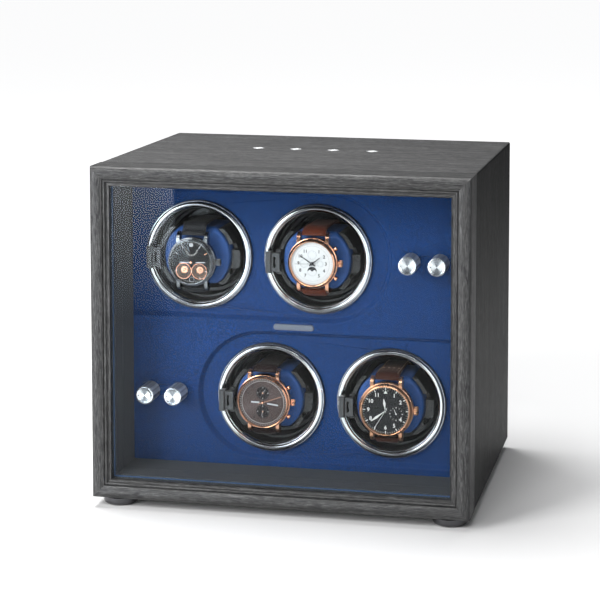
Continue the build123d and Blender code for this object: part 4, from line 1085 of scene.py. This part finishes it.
watch(1, 20.0, 17.0, WATCH_STEEL, dial_one, STRAP_BLACK, THREAD_DARK, 1.2, 2.9, step=True)
watch(2, 20.5, 17.6, ROSE, dial_two, STRAP_TAN, THREAD_TAN, 1.5, 2.7, (1.9, 4.1))
watch(3, 22.2, 19.9, ROSE, dial_three, STRAP_DARK, THREAD_DARK, 1.6, 2.7, (2.0, 4.0))
watch(4, 22.2, 19.2, BRONZE, dial_four, STRAP_BROWN, THREAD_LIGHT, 1.3, 3.6, rivets=True)


# ---------------------------------------------------------------- stage
def area(name, position, target, width, height, power, colour=(1, 1, 1)):
    """Soft rectangular light."""
    data = bpy.data.lights.new(name, "AREA")
    data.shape = "RECTANGLE"
    data.size = width
    data.size_y = height
    data.energy = power
    data.color = colour
    light = add_object(name, data)
    light.location = position
    light.rotation_euler = (Vector(target) - Vector(position)).to_track_quat("-Z", "Y").to_euler()
    return light


world = bpy.data.worlds.new("studio")
bpy.context.scene.world = world
world.use_nodes = True
background = world.node_tree.nodes.get("Background") or world.node_tree.nodes.new("ShaderNodeBackground")
background.inputs["Color"].default_value = (0.92, 0.94, 1.0, 1.0)
background.inputs["Strength"].default_value = 0.09

FLOOR_HALF = 30000.0
floor_mesh = bmesh.new()
square = ((-1, -1), (1, -1), (1, 1), (-1, 1))
floor_mesh.faces.new([floor_mesh.verts.new((x * FLOOR_HALF, y * FLOOR_HALF, 0)) for x, y in square])
bmesh.ops.scale(floor_mesh, vec=(MM,) * 3, verts=floor_mesh.verts)
floor_data = bpy.data.meshes.new("floor")
floor_mesh.to_mesh(floor_data)
floor_mesh.free()
# The floor glows for the camera only, more with distance, so that it fades to white as in the photo.
FLOOR = material("pale_floor", (0.78, 0.78, 0.78), 0.0, 0.7)
spot = add(FLOOR, "ShaderNodeTexCoord").outputs["Object"]
away = add(FLOOR, "ShaderNodeVectorMath", {"Vector": spot}, operation="LENGTH").outputs["Value"]
seen = add(FLOOR, "ShaderNodeLightPath").outputs["Is Camera Ray"]
fade = ramp(FLOOR, maths(FLOOR, "MULTIPLY", away, 0.5), [(0.15, 0.0), (0.9, 0.9)])
glow = maths(FLOOR, "MULTIPLY", fade, seen)
main_shader(FLOOR).inputs["Emission Color"].default_value = (1, 1, 1, 1)
plug(FLOOR, "Emission Strength", glow)
floor_data.materials.append(FLOOR)
add_object("floor", floor_data)

lights = [
    area("key_left", (-0.75, -0.95, 0.65), (0, 0, 0.15), 0.55, 0.8, 17),
    area("fill_right", (0.50, -1.30, 0.40), (0, -0.05, 0.14), 0.30, 0.6, 2.5),
    area("top", (-0.28, 0.15, 1.35), (-0.05, 0, 0.2), 0.8, 1.0, 27),
    area("front_high", (0.1, -1.3, 1.2), (0, 0, 0.15), 0.9, 0.35, 9),
]


def card(name, corner, across, upward, low, high):
    """White card that shows only in reflections; it glows from low at its foot to high at its top."""
    start, along, rise = Vector(corner), Vector(across), Vector(upward)
    data = bpy.data.meshes.new(name)
    data.from_pydata([start, start + along, start + along + rise, start + rise], [], [(0, 1, 2, 3)])
    glow = material(f"{name}_glow", (0, 0, 0), 0.0, 1.0)
    main_shader(glow).inputs["Emission Color"].default_value = (0.86, 0.92, 1.0, 1.0)
    where = add(glow, "ShaderNodeTexCoord").outputs["Generated"]
    height = add(glow, "ShaderNodeSeparateXYZ", {"Vector": where}).outputs["Z"]
    plug(glow, "Emission Strength", maths(glow, "ADD", maths(glow, "MULTIPLY", height, high - low), low))
    data.materials.append(glow)
    made = add_object(name, data)
    made.visible_camera = False
    made.visible_diffuse = False
    made.visible_shadow = False


card("card_left", (-0.60, -0.60, 0.03), (0.34, 0.0, 0.0), (0.0, 0.0, 0.24), 1.5, 19.0)
card("card_right", (0.62, -0.75, -0.05), (0.0, 0.45, 0.0), (0.0, 0.0, 0.50), 2.5, 2.5)

CAMERA_AT = (0.35538, -1.36542, 0.47545)
CAMERA_TURN = (85.693, -0.3661, 9.5094)
LENS = 100.979
SHIFT = (-0.26844, -0.42526)
camera_data = bpy.data.cameras.new("camera")
camera_data.lens = LENS
camera_data.sensor_width = 36.0
camera_data.clip_start = 0.05
camera_data.clip_end = 100.0
camera = add_object("camera", camera_data)
camera.location = CAMERA_AT
camera.rotation_euler = [math.radians(a) for a in CAMERA_TURN]
bpy.context.scene.camera = camera
# The lens shift belongs to this view only.
for path, value in (("shift_x", SHIFT[0]), ("shift_y", SHIFT[1])):
    setattr(camera_data, path, value)
    curve = camera_data.driver_add(path)
    curve.driver.type = "SUM"
    mode = curve.driver.variables.new()
    mode.type = "SINGLE_PROP"
    mode.targets[0].id = camera
    mode.targets[0].data_path = "rotation_mode"
    curve.modifiers[0].coefficients = (0.0, value)

view = bpy.context.scene.view_settings
view.view_transform = "Standard"
view.look = "None"
view.exposure = 0.0
